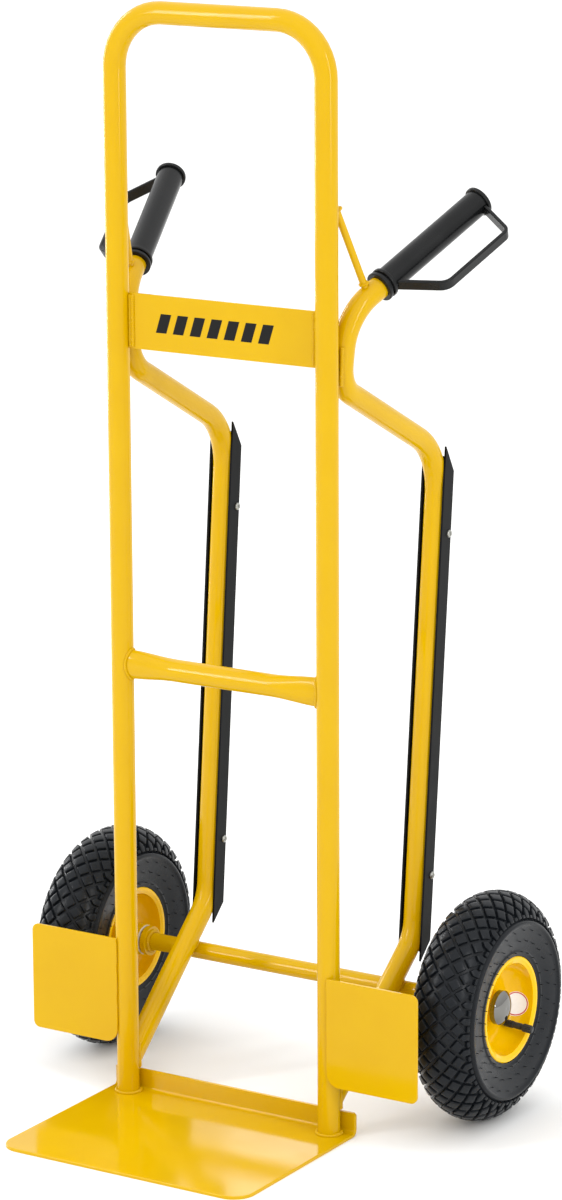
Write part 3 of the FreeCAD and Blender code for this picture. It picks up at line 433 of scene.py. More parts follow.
def block_template(name, outlines, sink, draft, bevel):
    """Tread blocks lying flat, each closed, with drafted walls and rounded edges."""
    verts, faces = [], []
    for outline in outlines:
        outline = [Vector(corner) for corner in outline]
        middle = sum(outline, Vector((0, 0))) / len(outline)
        rings = []
        for height, distance in (
                (-sink, 0.0), (-bevel, draft), (-0.35 * bevel, draft + 0.2 * bevel), (0.0, draft + bevel)):
            rings.append([(point.x, point.y, height) for point in divided(inset(outline, distance), 3)])
        rings.append([((x + middle.x) / 2, (y + middle.y) / 2, z) for x, y, z in rings[-1]])
        size = len(rings[0])
        base = len(verts)
        for ring in rings:
            verts += ring
        verts += [(middle.x, middle.y, 0), (middle.x, middle.y, -sink)]
        last = base + size * (len(rings) - 1)
        for low in range(base, last, size):
            faces += band(low, low + size, size)
        faces += fan(last, len(verts) - 2, size) + fan(base, len(verts) - 1, size)
    block = mesh_object(name, verts, faces)
    soften(block, 60)
    return block


def tread_tree():
    """Blocks laid out flat, then bent round the tyre, with vent stubs on its sides."""
    tree, given, end = new_tree("Diamond tread", [
        ("Block", "NodeSocketObject"), ("Lug", "NodeSocketObject"), ("Blocks round", "NodeSocketInt"),
        ("Rows", "NodeSocketInt"), ("Pitch", "NodeSocketFloat"), ("Lug line", "NodeSocketFloat"),
        ("Crown radius", "NodeSocketFloat"), ("Section radius", "NodeSocketFloat"),
        ("Centre", "NodeSocketVector"), ("Stubs", "NodeSocketInt"), ("Stub ring", "NodeSocketFloat"),
        ("Stub offset", "NodeSocketFloat"), ("Seed", "NodeSocketInt"), ("Rubber", "NodeSocketMaterial")])
    index = add(tree, "GeometryNodeInputIndex")

    # diamonds in rows, every other row half a pitch on
    total = add(tree, "ShaderNodeMath", {0: given["Blocks round"], 1: given["Rows"]}, operation="MULTIPLY")
    ratio = add(tree, "ShaderNodeMath", {0: index, 1: given["Blocks round"]}, operation="DIVIDE")
    row = add(tree, "ShaderNodeMath", {0: ratio}, operation="FLOOR")
    column = add(tree, "ShaderNodeMath", {0: index, 1: given["Blocks round"]}, operation="MODULO")
    odd = add(tree, "ShaderNodeMath", {0: row, 1: 2.0}, operation="MODULO")
    shift = add(tree, "ShaderNodeMath", {0: odd, 1: 0.5, 2: column}, operation="MULTIPLY_ADD")
    run = add(tree, "ShaderNodeMath", {0: shift, 1: given["Pitch"]}, operation="MULTIPLY")
    middle = add(tree, "ShaderNodeMath", {0: given["Rows"], 1: -1.0}, operation="ADD")
    middle = add(tree, "ShaderNodeMath", {0: middle, 1: -0.5, 2: row}, operation="MULTIPLY_ADD")
    half_pitch = add(tree, "ShaderNodeMath", {0: given["Pitch"], 1: 0.5}, operation="MULTIPLY")
    width = add(tree, "ShaderNodeMath", {0: middle, 1: half_pitch}, operation="MULTIPLY")
    spot = add(tree, "ShaderNodeCombineXYZ", {"X": run, "Y": width})
    seats = add(tree, "GeometryNodePoints", {"Count": total, "Position": spot})
    shape = add(tree, "GeometryNodeObjectInfo", {"Object": given["Block"]}).outputs["Geometry"]
    blocks = add(tree, "GeometryNodeInstanceOnPoints", {"Points": seats, "Instance": shape})

    # two lugs at each pitch, one on either shoulder, half a pitch on
    double = add(tree, "ShaderNodeMath", {0: given["Blocks round"], 1: 2.0}, operation="MULTIPLY")
    side = add(tree, "ShaderNodeMath", {0: index, 1: 2.0}, operation="MODULO")
    side = add(tree, "ShaderNodeMath", {0: side, 1: 2.0, 2: -1.0}, operation="MULTIPLY_ADD")
    place = add(tree, "ShaderNodeMath", {0: index, 1: 0.5}, operation="MULTIPLY")
    place = add(tree, "ShaderNodeMath", {0: place}, operation="FLOOR")
    place = add(tree, "ShaderNodeMath", {0: place, 1: 0.5}, operation="ADD")
    run = add(tree, "ShaderNodeMath", {0: place, 1: given["Pitch"]}, operation="MULTIPLY")
    width = add(tree, "ShaderNodeMath", {0: side, 1: given["Lug line"]}, operation="MULTIPLY")
    spot = add(tree, "ShaderNodeCombineXYZ", {"X": run, "Y": width})
    seats = add(tree, "GeometryNodePoints", {"Count": double, "Position": spot})
    shape = add(tree, "GeometryNodeObjectInfo", {"Object": given["Lug"]}).outputs["Geometry"]
    about = add(tree, "ShaderNodeMath", {0: side, 1: math.pi / 2, 2: -math.pi / 2}, operation="MULTIPLY_ADD")
    about = add(tree, "ShaderNodeCombineXYZ", {"Z": about})
    lugs = add(tree, "GeometryNodeInstanceOnPoints", {
        "Points": seats, "Instance": shape, "Rotation": about})

    # X is the way round the wheel and Y the way over the crown; both are bent to arcs
    flat = add(tree, "GeometryNodeJoinGeometry")
    for part in (blocks, lugs):
        tree.links.new(part.outputs[0], flat.inputs[0])
    flat = add(tree, "GeometryNodeRealizeInstances", {0: flat})
    was = add(tree, "GeometryNodeInputPosition")
    was = add(tree, "ShaderNodeSeparateXYZ", {0: was}).outputs
    round_by = add(tree, "ShaderNodeMath", {
        0: given["Crown radius"], 1: given["Section radius"]}, operation="ADD")
    turn = add(tree, "ShaderNodeMath", {0: was["X"], 1: round_by}, operation="DIVIDE")
    lean = add(tree, "ShaderNodeMath", {0: was["Y"], 1: given["Crown radius"]}, operation="DIVIDE")
    reach = add(tree, "ShaderNodeMath", {0: was["Z"], 1: given["Crown radius"]}, operation="ADD")
    cosine = add(tree, "ShaderNodeMath", {0: lean}, operation="COSINE")
    sine = add(tree, "ShaderNodeMath", {0: lean}, operation="SINE")
    out = add(tree, "ShaderNodeMath", {0: reach, 1: sine}, operation="MULTIPLY")
    radius = add(tree, "ShaderNodeMath", {
        0: reach, 1: cosine, 2: given["Section radius"]}, operation="MULTIPLY_ADD")
    cosine = add(tree, "ShaderNodeMath", {0: turn}, operation="COSINE")
    sine = add(tree, "ShaderNodeMath", {0: turn}, operation="SINE")
    back = add(tree, "ShaderNodeMath", {0: radius, 1: sine}, operation="MULTIPLY")
    up = add(tree, "ShaderNodeMath", {0: radius, 1: cosine}, operation="MULTIPLY")
    bent = add(tree, "ShaderNodeCombineXYZ", {"X": out, "Y": back, "Z": up})
    bent = add(tree, "ShaderNodeVectorMath", {0: bent, 1: given["Centre"]}, operation="ADD")
    tread = add(tree, "GeometryNodeSetPosition", {"Geometry": flat, "Position": bent})

    stray = add(tree, "FunctionNodeRandomValue", {
        2: -0.4, 3: 0.4, "Seed": given["Seed"]}, data_type="FLOAT").outputs[1]
    step = add(tree, "ShaderNodeMath", {0: index, 1: stray}, operation="ADD")
    step = add(tree, "ShaderNodeMath", {0: step, 1: given["Stubs"]}, operation="DIVIDE")
    turn = add(tree, "ShaderNodeMath", {0: step, 1: 2 * math.pi}, operation="MULTIPLY")
    # the stubs stand on three rings, two stubs of each six on one ring
    which = add(tree, "ShaderNodeMath", {0: index, 1: 6.0}, operation="MODULO")
    which = add(tree, "ShaderNodeMath", {0: which, 1: 0.5}, operation="MULTIPLY")
    which = add(tree, "ShaderNodeMath", {0: which}, operation="FLOOR")
    offset = add(tree, "ShaderNodeMath", {
        0: which, 1: 1.6 * MM, 2: given["Stub offset"]}, operation="MULTIPLY_ADD")
    ring = add(tree, "ShaderNodeMath", {
        0: which, 1: 12.5 * MM, 2: given["Stub ring"]}, operation="MULTIPLY_ADD")
    cosine = add(tree, "ShaderNodeMath", {0: turn}, operation="COSINE")
    sine = add(tree, "ShaderNodeMath", {0: turn}, operation="SINE")
    out = add(tree, "ShaderNodeMath", {0: side, 1: offset}, operation="MULTIPLY")
    back = add(tree, "ShaderNodeMath", {0: ring, 1: sine}, operation="MULTIPLY")
    up = add(tree, "ShaderNodeMath", {0: ring, 1: cosine}, operation="MULTIPLY")
    spot = add(tree, "ShaderNodeCombineXYZ", {"X": out, "Y": back, "Z": up})
    spot = add(tree, "ShaderNodeVectorMath", {0: spot, 1: given["Centre"]}, operation="ADD")
    seats = add(tree, "GeometryNodePoints", {"Count": given["Stubs"], "Position": spot})
    thick, length = 0.5 * MM, 3.2 * MM
    stub = add(tree, "GeometryNodeMeshCone", {
        "Vertices": 6, "Radius Top": thick, "Radius Bottom": thick, "Depth": length})
    lying = add(tree, "GeometryNodeTransform", {
        "Geometry": stub, "Rotation": (0, math.pi / 2, 0), "Translation": (-length / 2, 0, 0)})
    stubs = add(tree, "GeometryNodeInstanceOnPoints", {"Points": seats, "Instance": lying})

    whole = add(tree, "GeometryNodeJoinGeometry")
    for part in (given["Geometry"], tread.outputs[0], stubs.outputs[0]):
        tree.links.new(part, whole.inputs[0])
    real = add(tree, "GeometryNodeRealizeInstances", {0: whole})
    dyed = add(tree, "GeometryNodeSetMaterial", {"Geometry": real, "Material": given["Rubber"]})
    tree.links.new(dyed.outputs[0], end.inputs[0])
    return tree


def casing_profile(depth):
    """The tyre's section: offset from its middle plane and distance from the axle."""
    crown = TYRE_HALF - depth
    outer = []
    steps = 14
    for step in range(steps + 1):
        lean = SHOULDER * step / steps
        outer.append((crown * math.sin(lean), SECTION_R + crown * math.cos(lean)))
    shoulder = SECTION_R + crown * math.cos(SHOULDER)
    outer += [(TYRE_HALF - reach * MM, shoulder + rise * MM) for reach, rise in (
        (3.6, -1.4), (1.5, -2.0), (0.5, -3.0), (0.2, -4.6), (0.5, -6.2), (1.4, -7.2), (2.2, -8.4),
        (2.8, -13.0), (4.0, -19.0), (5.4, -25.0), (6.8, -30.5))]
    outer += [(TYRE_HALF - reach * MM, RIM_LIP_R + rise * MM) for reach, rise in (
        (7.7, 8.2), (7.8, 7.2), (7.0, 6.2), (6.9, 5.0), (7.4, 4.0), (8.0, 3.4), (8.3, 0.4), (10.4, 0.4),
        (10.4, -3.3), (12.4, -5.3), (18.0, -5.3), (18.0, 0.4), (10.5, 8.0), (5.5, 30.0), (7.9, 44.0),
        (15.0, 54.0), (26.0, 59.5))]
    outer.append((0, WHEEL_R - TREAD_THICK))
    mirrored = [(-offset, radius) for offset, radius in reversed(outer[1:-1])]
    return outer + mirrored + [outer[0]]


class TRUCK_OT_tyres(bpy.types.Operator):
    """Builds both tyres with their moulded tread"""

    bl_idname = "truck.tyres"
    bl_label = "Tyres"

    def execute(self, context):
        """Makes the casing, grows the tread on it and puts it on its wheel."""
        look = context.scene.truck_tyres
        tree = tread_tree()
        pitch = 2 * math.pi * WHEEL_R / look.blocks_round
        half = (pitch - look.groove * math.sqrt(2)) / 2
        sink = look.depth + 0.5 * MM
        diamond = [(half, 0), (0, half), (-half, 0), (0, -half)]
        block = block_template("tread_block", [diamond], sink, 0.6 * MM, 0.7 * MM)
        # a long lug points in between two diamonds, and a short one follows each diamond's corner
        wide = pitch * 0.22
        long_lug = [(0, 0), (wide, wide), (wide, look.lug), (-wide, look.lug), (-wide, wide)]
        near = pitch / 2 - wide * 0.85
        far = pitch / 2 + wide * 0.85
        root = 2 * half - pitch / 2 + look.groove
        short_lug = [(near, root), (far, root), (far, look.lug), (near, look.lug)]
        lug = block_template("shoulder_lug", [long_lug, short_lug], sink, 0.5 * MM, 0.6 * MM)
        lug_line = pitch / 4 * (look.rows + 1) - half
        for side in SIDES:
            centre = HUBS["wheel_" + side]
            tyre = lathe(
                "treaded_tyre_" + side, casing_profile(look.depth), centre,
                X_AXIS, Z_AXIS, 160)
            soften(tyre, 50)
            grow(tyre, tree, {
                "Block": block, "Lug": lug, "Blocks round": look.blocks_round, "Rows": look.rows,
                "Pitch": pitch, "Lug line": lug_line, "Crown radius": TYRE_HALF,
                "Section radius": SECTION_R, "Centre": centre, "Stubs": look.stubs,
                "Stub ring": 65 * MM, "Stub offset": TYRE_HALF - 5.4 * MM, "Seed": 3,
                "Rubber": finishes()["Tyre rubber"]})
            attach(tyre, "wheel_" + side)
            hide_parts("tyre_" + side)
        bpy.data.objects.remove(block)
        bpy.data.objects.remove(lug)
        return {"FINISHED"}


# ---------------------------------------------------------------- valves
def cap_knurl(step, place):
    """Twelve grip ribs round a valve cap, left out at its ends."""
    inside = 1.5 * MM < place < CAP_REACH - 2.2 * MM
    return 0.35 * MM * (1 if step % 4 < 2 else -1) if inside else 0


class TRUCK_OT_valves(bpy.types.Operator):
    """Builds the ribbed valve stems and their knurled caps"""

    bl_idname = "truck.valves"
    bl_label = "Valves"

    def execute(self, context):
        """Turns a stem and a cap about each CAD stem's own line."""
        for side, sign in SIDES.items():
            along = Vector((
                sign * math.cos(VALVE_LEAN), math.sin(VALVE_LEAN) * math.cos(VALVE_ANGLE),
                math.sin(VALVE_LEAN) * math.sin(VALVE_ANGLE)))
            low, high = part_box("valve_stem_" + side)
            middle = (low + high) / 2
            length = (high.x - low.x) * 0.94
            start = middle - along * length / 2
            profile = [(0, 0), (0, STEM_R)]
            # five moulded ribs, 2.2 mm apart
            for rib in range(5):
                place = 7 * MM + rib * 2.2 * MM
                profile += [(place + run * MM, STEM_R + rise * MM) for run, rise in (
                    (0, 0), (0.3, 0.45), (1.1, 0.45), (1.4, -0.3), (2.0, -0.3))]
            neck = length - 8 * MM
            profile += [
                (neck - 0.6 * MM, STEM_R), (neck, STEM_R * 0.72), (length, STEM_R * 0.66), (length, 0)]
            stem = lathe("ribbed_stem_" + side, profile, start, along, Z_AXIS, 32)
            soften(stem, 40)
            wear(stem, finishes()["Valve rubber"])
            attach(stem, "wheel_" + side)
            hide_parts("valve_stem_" + side)
            low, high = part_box("valve_cap_" + side)
            start = (low + high) / 2 - along * CAP_REACH / 2
            profile = [(0, 0)]
            profile += [(run * MM, CAP_R + rise * MM) for run, rise in (
                (0, -0.5), (0.5, 0), (1.4, 0), (1.6, 0))]
            profile += [(CAP_REACH - run * MM, CAP_R + rise * MM) for run, rise in (
                (2.4, 0), (2.1, -0.2), (0.9, -0.4), (0.2, -1.1), (0, -2.2))]
            profile.append((CAP_REACH, 0))
            cap = lathe("knurled_cap_" + side, profile, start, along, Z_AXIS, 48, cap_knurl)
            soften(cap, 35)
            wear(cap, finishes()["Valve rubber"])
            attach(cap, "wheel_" + side)
            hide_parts("valve_cap_" + side)
        return {"FINISHED"}


# ---------------------------------------------------------------- welds
def bead_tree():
    """Overlapping ripples along every bead's line."""
    tree, given, end = new_tree("Rippled weld bead", [
        ("Ripple", "NodeSocketFloat"), ("Scatter", "NodeSocketFloat"), ("Seed", "NodeSocketInt"),
        ("Paint", "NodeSocketMaterial")])
    lines = add(tree, "GeometryNodeMeshToCurve", {0: given["Geometry"]})
    marks = add(tree, "GeometryNodeCurveToPoints", {0: lines, "Length": given["Ripple"]}, mode="LENGTH")
    drop = add(tree, "GeometryNodeMeshIcoSphere", {"Radius": 1.0, "Subdivisions": 2})
    leg = add(tree, "GeometryNodeInputNamedAttribute", {"Name": "leg"}, data_type="FLOAT")
    least = add(tree, "ShaderNodeMath", {0: 1.0, 1: given["Scatter"]}, operation="SUBTRACT")
    most = add(tree, "ShaderNodeMath", {0: 1.0, 1: given["Scatter"]}, operation="ADD")
    uneven = add(tree, "FunctionNodeRandomValue", {
        2: least, 3: most, "Seed": given["Seed"]}, data_type="FLOAT")
    wide = add(tree, "ShaderNodeMath", {0: leg, 1: uneven.outputs[1]}, operation="MULTIPLY")
    thin = add(tree, "ShaderNodeMath", {0: given["Ripple"], 1: 0.95}, operation="MULTIPLY")
    size = add(tree, "ShaderNodeCombineXYZ", {"X": wide, "Y": wide, "Z": thin})
    ripples = add(tree, "GeometryNodeInstanceOnPoints", {
        "Points": marks.outputs["Points"], "Instance": drop,
        "Rotation": marks.outputs["Rotation"], "Scale": size})
    real = add(tree, "GeometryNodeRealizeInstances", {0: ripples})
    smooth = add(tree, "GeometryNodeSetShadeSmooth", {0: real})
    dyed = add(tree, "GeometryNodeSetMaterial", {"Geometry": smooth, "Material": given["Paint"]})
    tree.links.new(dyed.outputs[0], end.inputs[0])
    return tree


def arc(centre, first, second, radius, start, stop, count):
    """Points along part of a circle, between two angles in degrees."""
    points = []
    for step in range(count + 1):
        angle = math.radians(start + (stop - start) * step / count)
        points.append(centre + (first * math.cos(angle) + second * math.sin(angle)) * radius)
    return points


BEAD_LEGS = {
    "foot": 2.3 * MM, "bar": 1.9 * MM, "plate": 2.4 * MM, "neck": 2.7 * MM, "guard": 1.0 * MM,
    "axle": 2.4 * MM, "stop": 2.6 * MM, "slope": 2.2 * MM, "brace": 1.7 * MM}


def bead_lines():
    """Every bead of the right side: its ripples' radius and the points of its line."""
    rail = Vector((RAIL_X, 0, 0))
    proud = 0.6 * MM                # a bead's middle above the piece it runs on
    lines = []

    # round the upright's foot, on the toe plate
    centre = rail + Z_AXIS * (PLATE_TOP_Z + 0.9 * MM)
    lines.append((BEAD_LEGS["foot"], arc(centre, X_AXIS, Y_AXIS, TUBE_R + 1.1 * MM, 140, 400, 40)))

    # round the cross bar's pressed end
    low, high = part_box("cross_bar")
    bar_z = (low.z + high.z) / 2
    end_height, end_depth = 16.2 * MM, 8.5 * MM
    ring = []
    for step in range(41):
        angle = 2 * math.pi * step / 40
        y_place = (end_depth + proud) * math.sin(angle)
        x_place = RAIL_X - math.sqrt(TUBE_R ** 2 - y_place ** 2) - proud
        ring.append(Vector((x_place, y_place, bar_z + (end_height + proud) * math.cos(angle))))
    lines.append((BEAD_LEGS["bar"], ring))

    # up the name plate's end, twice in front and once behind
    low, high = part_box("name_plate")
    for face, out in ((low.y - 0.2 * MM, 1.9), (low.y - 0.2 * MM, 5.2), (high.y + 0.4 * MM, 1.9)):
        x_place = RAIL_X - TUBE_R - out * MM
        lines.append((BEAD_LEGS["plate"], [
            Vector((x_place, face, low.z + 3 * MM)), Vector((x_place, face, high.z - 3 * MM))]))

    # up both sides of the line where the rear tube touches the upright
    neck_low, neck_high, lean = 838 * MM, 878 * MM, 1.6 * MM
    for shift in (-4.4 * MM, 9.6 * MM):
        lines.append((BEAD_LEGS["neck"], [
            Vector((RAIL_X + shift, TUBE_R * 1.02, neck_low)),
            Vector((RAIL_X + shift + lean, TUBE_R * 1.02, neck_high))]))

    # three short beads down the wheel guard's inner edge
    low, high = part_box("wheel_guard_right")
    corner, half = 16 * MM, 12 * MM
    pitch = (high.z - low.z - corner) / 3
    for index in range(3):
        middle = low.z + corner + pitch * (index + 0.5)
        spot = Vector((low.x + 0.3 * MM, low.y + 0.9 * MM, 0))
        lines.append((BEAD_LEGS["guard"], [
            spot + Z_AXIS * (middle - half), spot + Z_AXIS * (middle + half)]))

    # round the spot where the sloped tube rests on the axle, a saddle
    along = (LOW_BEND - SLOPE_FOOT).normalized()
    on_axle = Vector((RAIL_X, AXLE_Y, AXLE_Z))
    on_tube = SLOPE_FOOT + along * (on_axle - SLOPE_FOOT).dot(along)
    on_axle.x = on_tube.x
    outward = (on_tube - on_axle).normalized()
    contact = on_axle + outward * AXLE_R
    reach = 7.2 * MM
    ring = []
    for step in range(33):
        angle = 2 * math.pi * step / 32
        across, forth = math.cos(angle), math.sin(angle)
        lift = 1.1 * across ** 2 - 1.3 * forth ** 2
        ring.append(contact + X_AXIS * (reach * across) + along * (reach * forth) + outward * (lift * MM))
    lines.append((BEAD_LEGS["axle"], ring))

    # round the axle on the stop's inner face
    low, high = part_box("axle_stop_right")
    centre = Vector((low.x - 1.2 * MM, AXLE_Y, AXLE_Z))
    lines.append((BEAD_LEGS["stop"], arc(centre, Y_AXIS, Z_AXIS, AXLE_R + 1.2 * MM, 0, 360, 48)))

    # round the sloped tube where it meets the upright
    rise = X_AXIS.cross(along).normalized()
    slope = []
    for step in range(33):
        angle = math.radians(-70 + 320 * step / 32)
        x_side = (TUBE_R + proud) * math.cos(angle)
        lift = (TUBE_R + proud) * math.sin(angle)
        y_place = math.sqrt(max(0.0, (TUBE_R + proud) ** 2 - min(abs(x_side), TUBE_R) ** 2))
        run = (y_place - lift * rise.y) / along.y
        point = SLOPE_FOOT + X_AXIS * x_side + rise * lift + along * run
        if point.z > 30 * MM and point.y > 6 * MM:
            slope.append(point)
    lines.append((BEAD_LEGS["slope"], slope))

    # round both ends of the brace rod
    low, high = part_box("brace_rod_right")
    thick = 4 * MM                  # the rod's radius
    top = Vector((low.x + thick, low.y + thick * 0.9, high.z - thick))
    foot = Vector((high.x - thick, high.y - thick * 0.9, low.z + thick * 0.6))
    direction = (foot - top).normalized()
    first = direction.cross(Y_AXIS).normalized()
    second = direction.cross(first)
    for spot, inward in ((top, 1), (foot, -1)):
        centre = spot + direction * (inward * 3.0 * MM)
        lines.append((BEAD_LEGS["brace"], arc(centre, first, second, thick + 0.3 * MM, 0, 360, 24)))
    return lines


class TRUCK_OT_welds(bpy.types.Operator):
    """Builds the rippled weld beads of the frame"""

    bl_idname = "truck.welds"
    bl_label = "Welds"

    def execute(self, context):
        """Draws the beads' lines on both sides and grows ripples along them."""
        look = context.scene.truck_beads
        verts, edges, legs = [], [], []
        for sign in SIDES.values():
            for leg, points in bead_lines():
                start = len(verts)
                verts += [Vector((sign * point.x, point.y, point.z)) for point in points]
                legs += [leg] * len(points)
                edges += [(place, place + 1) for place in range(start, len(verts) - 1)]
        welds = mesh_object("weld_ripples", verts, [], edges)
        store = welds.data.attributes.new("leg", "FLOAT", "POINT")
        store.data.foreach_set("value", legs)
        grow(welds, bead_tree(), {
            "Ripple": look.ripple, "Scatter": look.scatter, "Seed": 11,
            "Paint": finishes()["Yellow powder coat"]})
        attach(welds, "frame")
        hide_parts("weld_beads")
        return {"FINISHED"}


# ---------------------------------------------------------------- screws
def screw_head():
    """A pan head lying along +X with a cross recess, its seat at the origin."""
    rings = [
        (1.0, 0.0), (1.0, 0.35), (0.93, 0.66), (0.78, 0.88), (0.55, 0.98), (0.42, 1.0), (0.26, 1.0),
        (0.12, 1.0)]
    steps = 32
    verts, faces = [], []
    for share, rise in rings:
        for step in range(steps):
            angle = 2 * math.pi * step / steps
            y_place, z_place = HEAD_R * share * math.cos(angle), HEAD_R * share * math.sin(angle)
            in_cross = share < 0.5 and min(abs(y_place), abs(z_place)) < CROSS_HALF
            verts.append((HEAD_HEIGHT * rise - (CROSS_DEPTH if in_cross else 0), y_place, z_place))
    last = (len(rings) - 1) * steps
    for low in range(0, last, steps):
        faces += band(low, low + steps, steps)
    verts += [(HEAD_HEIGHT - CROSS_DEPTH, 0, 0), (0, 0, 0)]
    faces += fan(last, len(verts) - 2, steps) + fan(0, len(verts) - 1, steps)
    return mesh_object("pan_head", verts, faces)


def screw_tree():
    """One head on each seat, turned to face away from the glide."""
    tree, given, end = new_tree("Glide screws", [
        ("Head", "NodeSocketObject"), ("Seed", "NodeSocketInt"), ("Plate", "NodeSocketMaterial")])
    seats = add(tree, "GeometryNodeMeshToPoints", {0: given["Geometry"]})
    head = add(tree, "GeometryNodeObjectInfo", {"Object": given["Head"]}).outputs["Geometry"]
    facing = add(tree, "GeometryNodeInputNamedAttribute", {"Name": "facing"}, data_type="FLOAT")
    spin = add(tree, "FunctionNodeRandomValue", {
        2: 0.0, 3: math.pi, "Seed": given["Seed"]}, data_type="FLOAT")
    turn = add(tree, "ShaderNodeCombineXYZ", {"X": spin.outputs[1], "Z": facing})
    heads = add(tree, "GeometryNodeInstanceOnPoints", {
        "Points": seats, "Instance": head, "Rotation": turn})
    real = add(tree, "GeometryNodeRealizeInstances", {0: heads})
    dyed = add(tree, "GeometryNodeSetMaterial", {"Geometry": real, "Material": given["Plate"]})
    tree.links.new(dyed.outputs[0], end.inputs[0])
    return tree


class TRUCK_OT_screws(bpy.types.Operator):
    """Builds the pan-head screws of both glides"""

    bl_idname = "truck.screws"
    bl_label = "Glide screws"

    def execute(self, context):
        """Reads each screw's place from the frame and sets a head on it."""
        tree = screw_tree()
        head = screw_head()
        soften(head, 40)
        for side in SIDES:
            node = frame["nodes"]["glide_screws_" + side]
            low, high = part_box(node.name)
            middle = (low + high) / 2
            seats, facing = [], []
            for upper in (False, True):
                for outer in (False, True):
                    near = [
                        v.co for v in node.data.vertices
                        if (v.co.z > middle.z) == upper and (v.co.x > middle.x) == outer]
                    y_place = (min(p.y for p in near) + max(p.y for p in near)) / 2
                    z_place = (min(p.z for p in near) + max(p.z for p in near)) / 2
                    edge = max(p.x for p in near) if outer else min(p.x for p in near)
                    seats.append((edge - HEAD_HEIGHT if outer else edge + HEAD_HEIGHT, y_place, z_place))
                    facing.append(0.0 if outer else math.pi)
            screws = mesh_object("cross_screws_" + side, seats, [])
            store = screws.data.attributes.new("facing", "FLOAT", "POINT")
            store.data.foreach_set("value", facing)
            grow(screws, tree, {"Head": head, "Seed": 5, "Plate": finishes()["Zinc plate"]})
            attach(screws, "frame")
            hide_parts("glide_screws_" + side)
        bpy.data.objects.remove(head)
        return {"FINISHED"}


# ---------------------------------------------------------------- marks
def mark_tree():
    """A row of slanted bars, each a thin film of ink."""
    tree, given, end = new_tree("Slanted bars", [
        ("Count", "NodeSocketInt"), ("Start", "NodeSocketVector"), ("Step", "NodeSocketVector"),
        ("Bar", "NodeSocketVector"), ("Slant", "NodeSocketFloat"), ("Ink", "NodeSocketMaterial")])
    row = add(tree, "GeometryNodeMeshLine", {
        "Count": given["Count"], "Start Location": given["Start"], "Offset": given["Step"]}, mode="OFFSET")
    bar = add(tree, "GeometryNodeMeshCube", {"Size": given["Bar"]})
    was = add(tree, "GeometryNodeInputPosition")
    height = add(tree, "ShaderNodeSeparateXYZ", {0: was}).outputs["Z"]
    shift = add(tree, "ShaderNodeMath", {0: height, 1: given["Slant"]}, operation="MULTIPLY")
    shift = add(tree, "ShaderNodeCombineXYZ", {"X": shift})
    slanted = add(tree, "GeometryNodeSetPosition", {"Geometry": bar, "Offset": shift})
    bars = add(tree, "GeometryNodeInstanceOnPoints", {"Points": row, "Instance": slanted})
    real = add(tree, "GeometryNodeRealizeInstances", {0: bars})
    dyed = add(tree, "GeometryNodeSetMaterial", {"Geometry": real, "Material": given["Ink"]})
    tree.links.new(dyed.outputs[0], end.inputs[0])
    return tree


def bowl_point(arc_length, sideways, lift):
    """A point of the right rim's bowl, along its section and round it, above its paint."""
    bend, floor_r, floor_x = BOWL_ROUND, RIM_WELL_R - BOWL_ROUND, 2 * MM
    well = floor_r + bend
    centre_x = floor_x + bend
    quarter = bend * math.pi / 2
    if arc_length <= quarter:
        angle = arc_length / bend
        radius = floor_r + (bend - lift) * math.sin(angle)
        offset = centre_x - (bend - lift) * math.cos(angle)
    else:
        radius = well - lift
        offset = centre_x + arc_length - quarter
    hub = HUBS["wheel_right"]
    turn = LABEL_ANGLE + sideways / radius
    return Vector((hub.x + offset, hub.y + radius * math.cos(turn), hub.z + radius * math.sin(turn)))


def bowl_disc(name, inner, outer, lift, finish):
    """A round film pressed into the bowl: a disc, or a ring if inner is above 0."""
    middle = BOWL_ROUND * math.radians(54)
    seat = 0.02 * MM
    steps, rings = 48, 10
    verts, faces = [], []
    for thick in (lift, seat):
        for level in range(rings + 1):
            reach = inner + (outer - inner) * level / rings
            for step in range(steps):
                angle = 2 * math.pi * step / steps
                verts.append(bowl_point(middle + reach * math.cos(angle), reach * math.sin(angle), thick))
    size = steps * (rings + 1)
    for low in range(0, rings * steps, steps):
        faces += band(low, low + steps, steps) + band(low + size, low + size + steps, steps)
    for edge in (0, rings * steps) if inner > 0 else (rings * steps,):
        faces += band(edge, edge + size, steps)
    film = mesh_object(name, verts, faces)
    work = bmesh.new()
    work.from_mesh(film.data)
    bmesh.ops.remove_doubles(work, verts=work.verts, dist=0.005 * MM)
    bmesh.ops.recalc_face_normals(work, faces=work.faces)
    work.to_mesh(film.data)
    work.free()
    soften(film, 30)
    return wear(film, finish)


class TRUCK_OT_marks(bpy.types.Operator):
    """Prints the plain mark on the name plate and sticks the round label in the rim"""

    bl_idname = "truck.marks"
    bl_label = "Marks"

    def execute(self, context):
        """Grows the bars on the plate's front and lays two films in the bowl."""
        look = context.scene.truck_marks
        low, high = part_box("name_plate")
        film = 0.12 * MM
        pitch = look.length / look.bars
        start = Vector((look.shift - look.length / 2 + pitch / 2, low.y - film / 2, (low.z + high.z) / 2))
        bars = mesh_object("plate_bars", [start], [])
        grow(bars, mark_tree(), {
            "Count": look.bars, "Start": start, "Step": (pitch, 0, 0),
            "Bar": (pitch * 0.62, film, look.height), "Slant": 0.32, "Ink": finishes()["Black ink"]})
        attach(bars, "frame")
        radius = look.label / 2
        disc = bowl_disc("label_disc", 0, radius, 0.12 * MM, finishes()["Label vinyl"])
        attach(disc, "wheel_right")
        rim = bowl_disc("label_ring", radius * 0.87, radius * 0.96, 0.2 * MM, finishes()["Label ring"])
        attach(rim, "wheel_right")
        return {"FINISHED"}


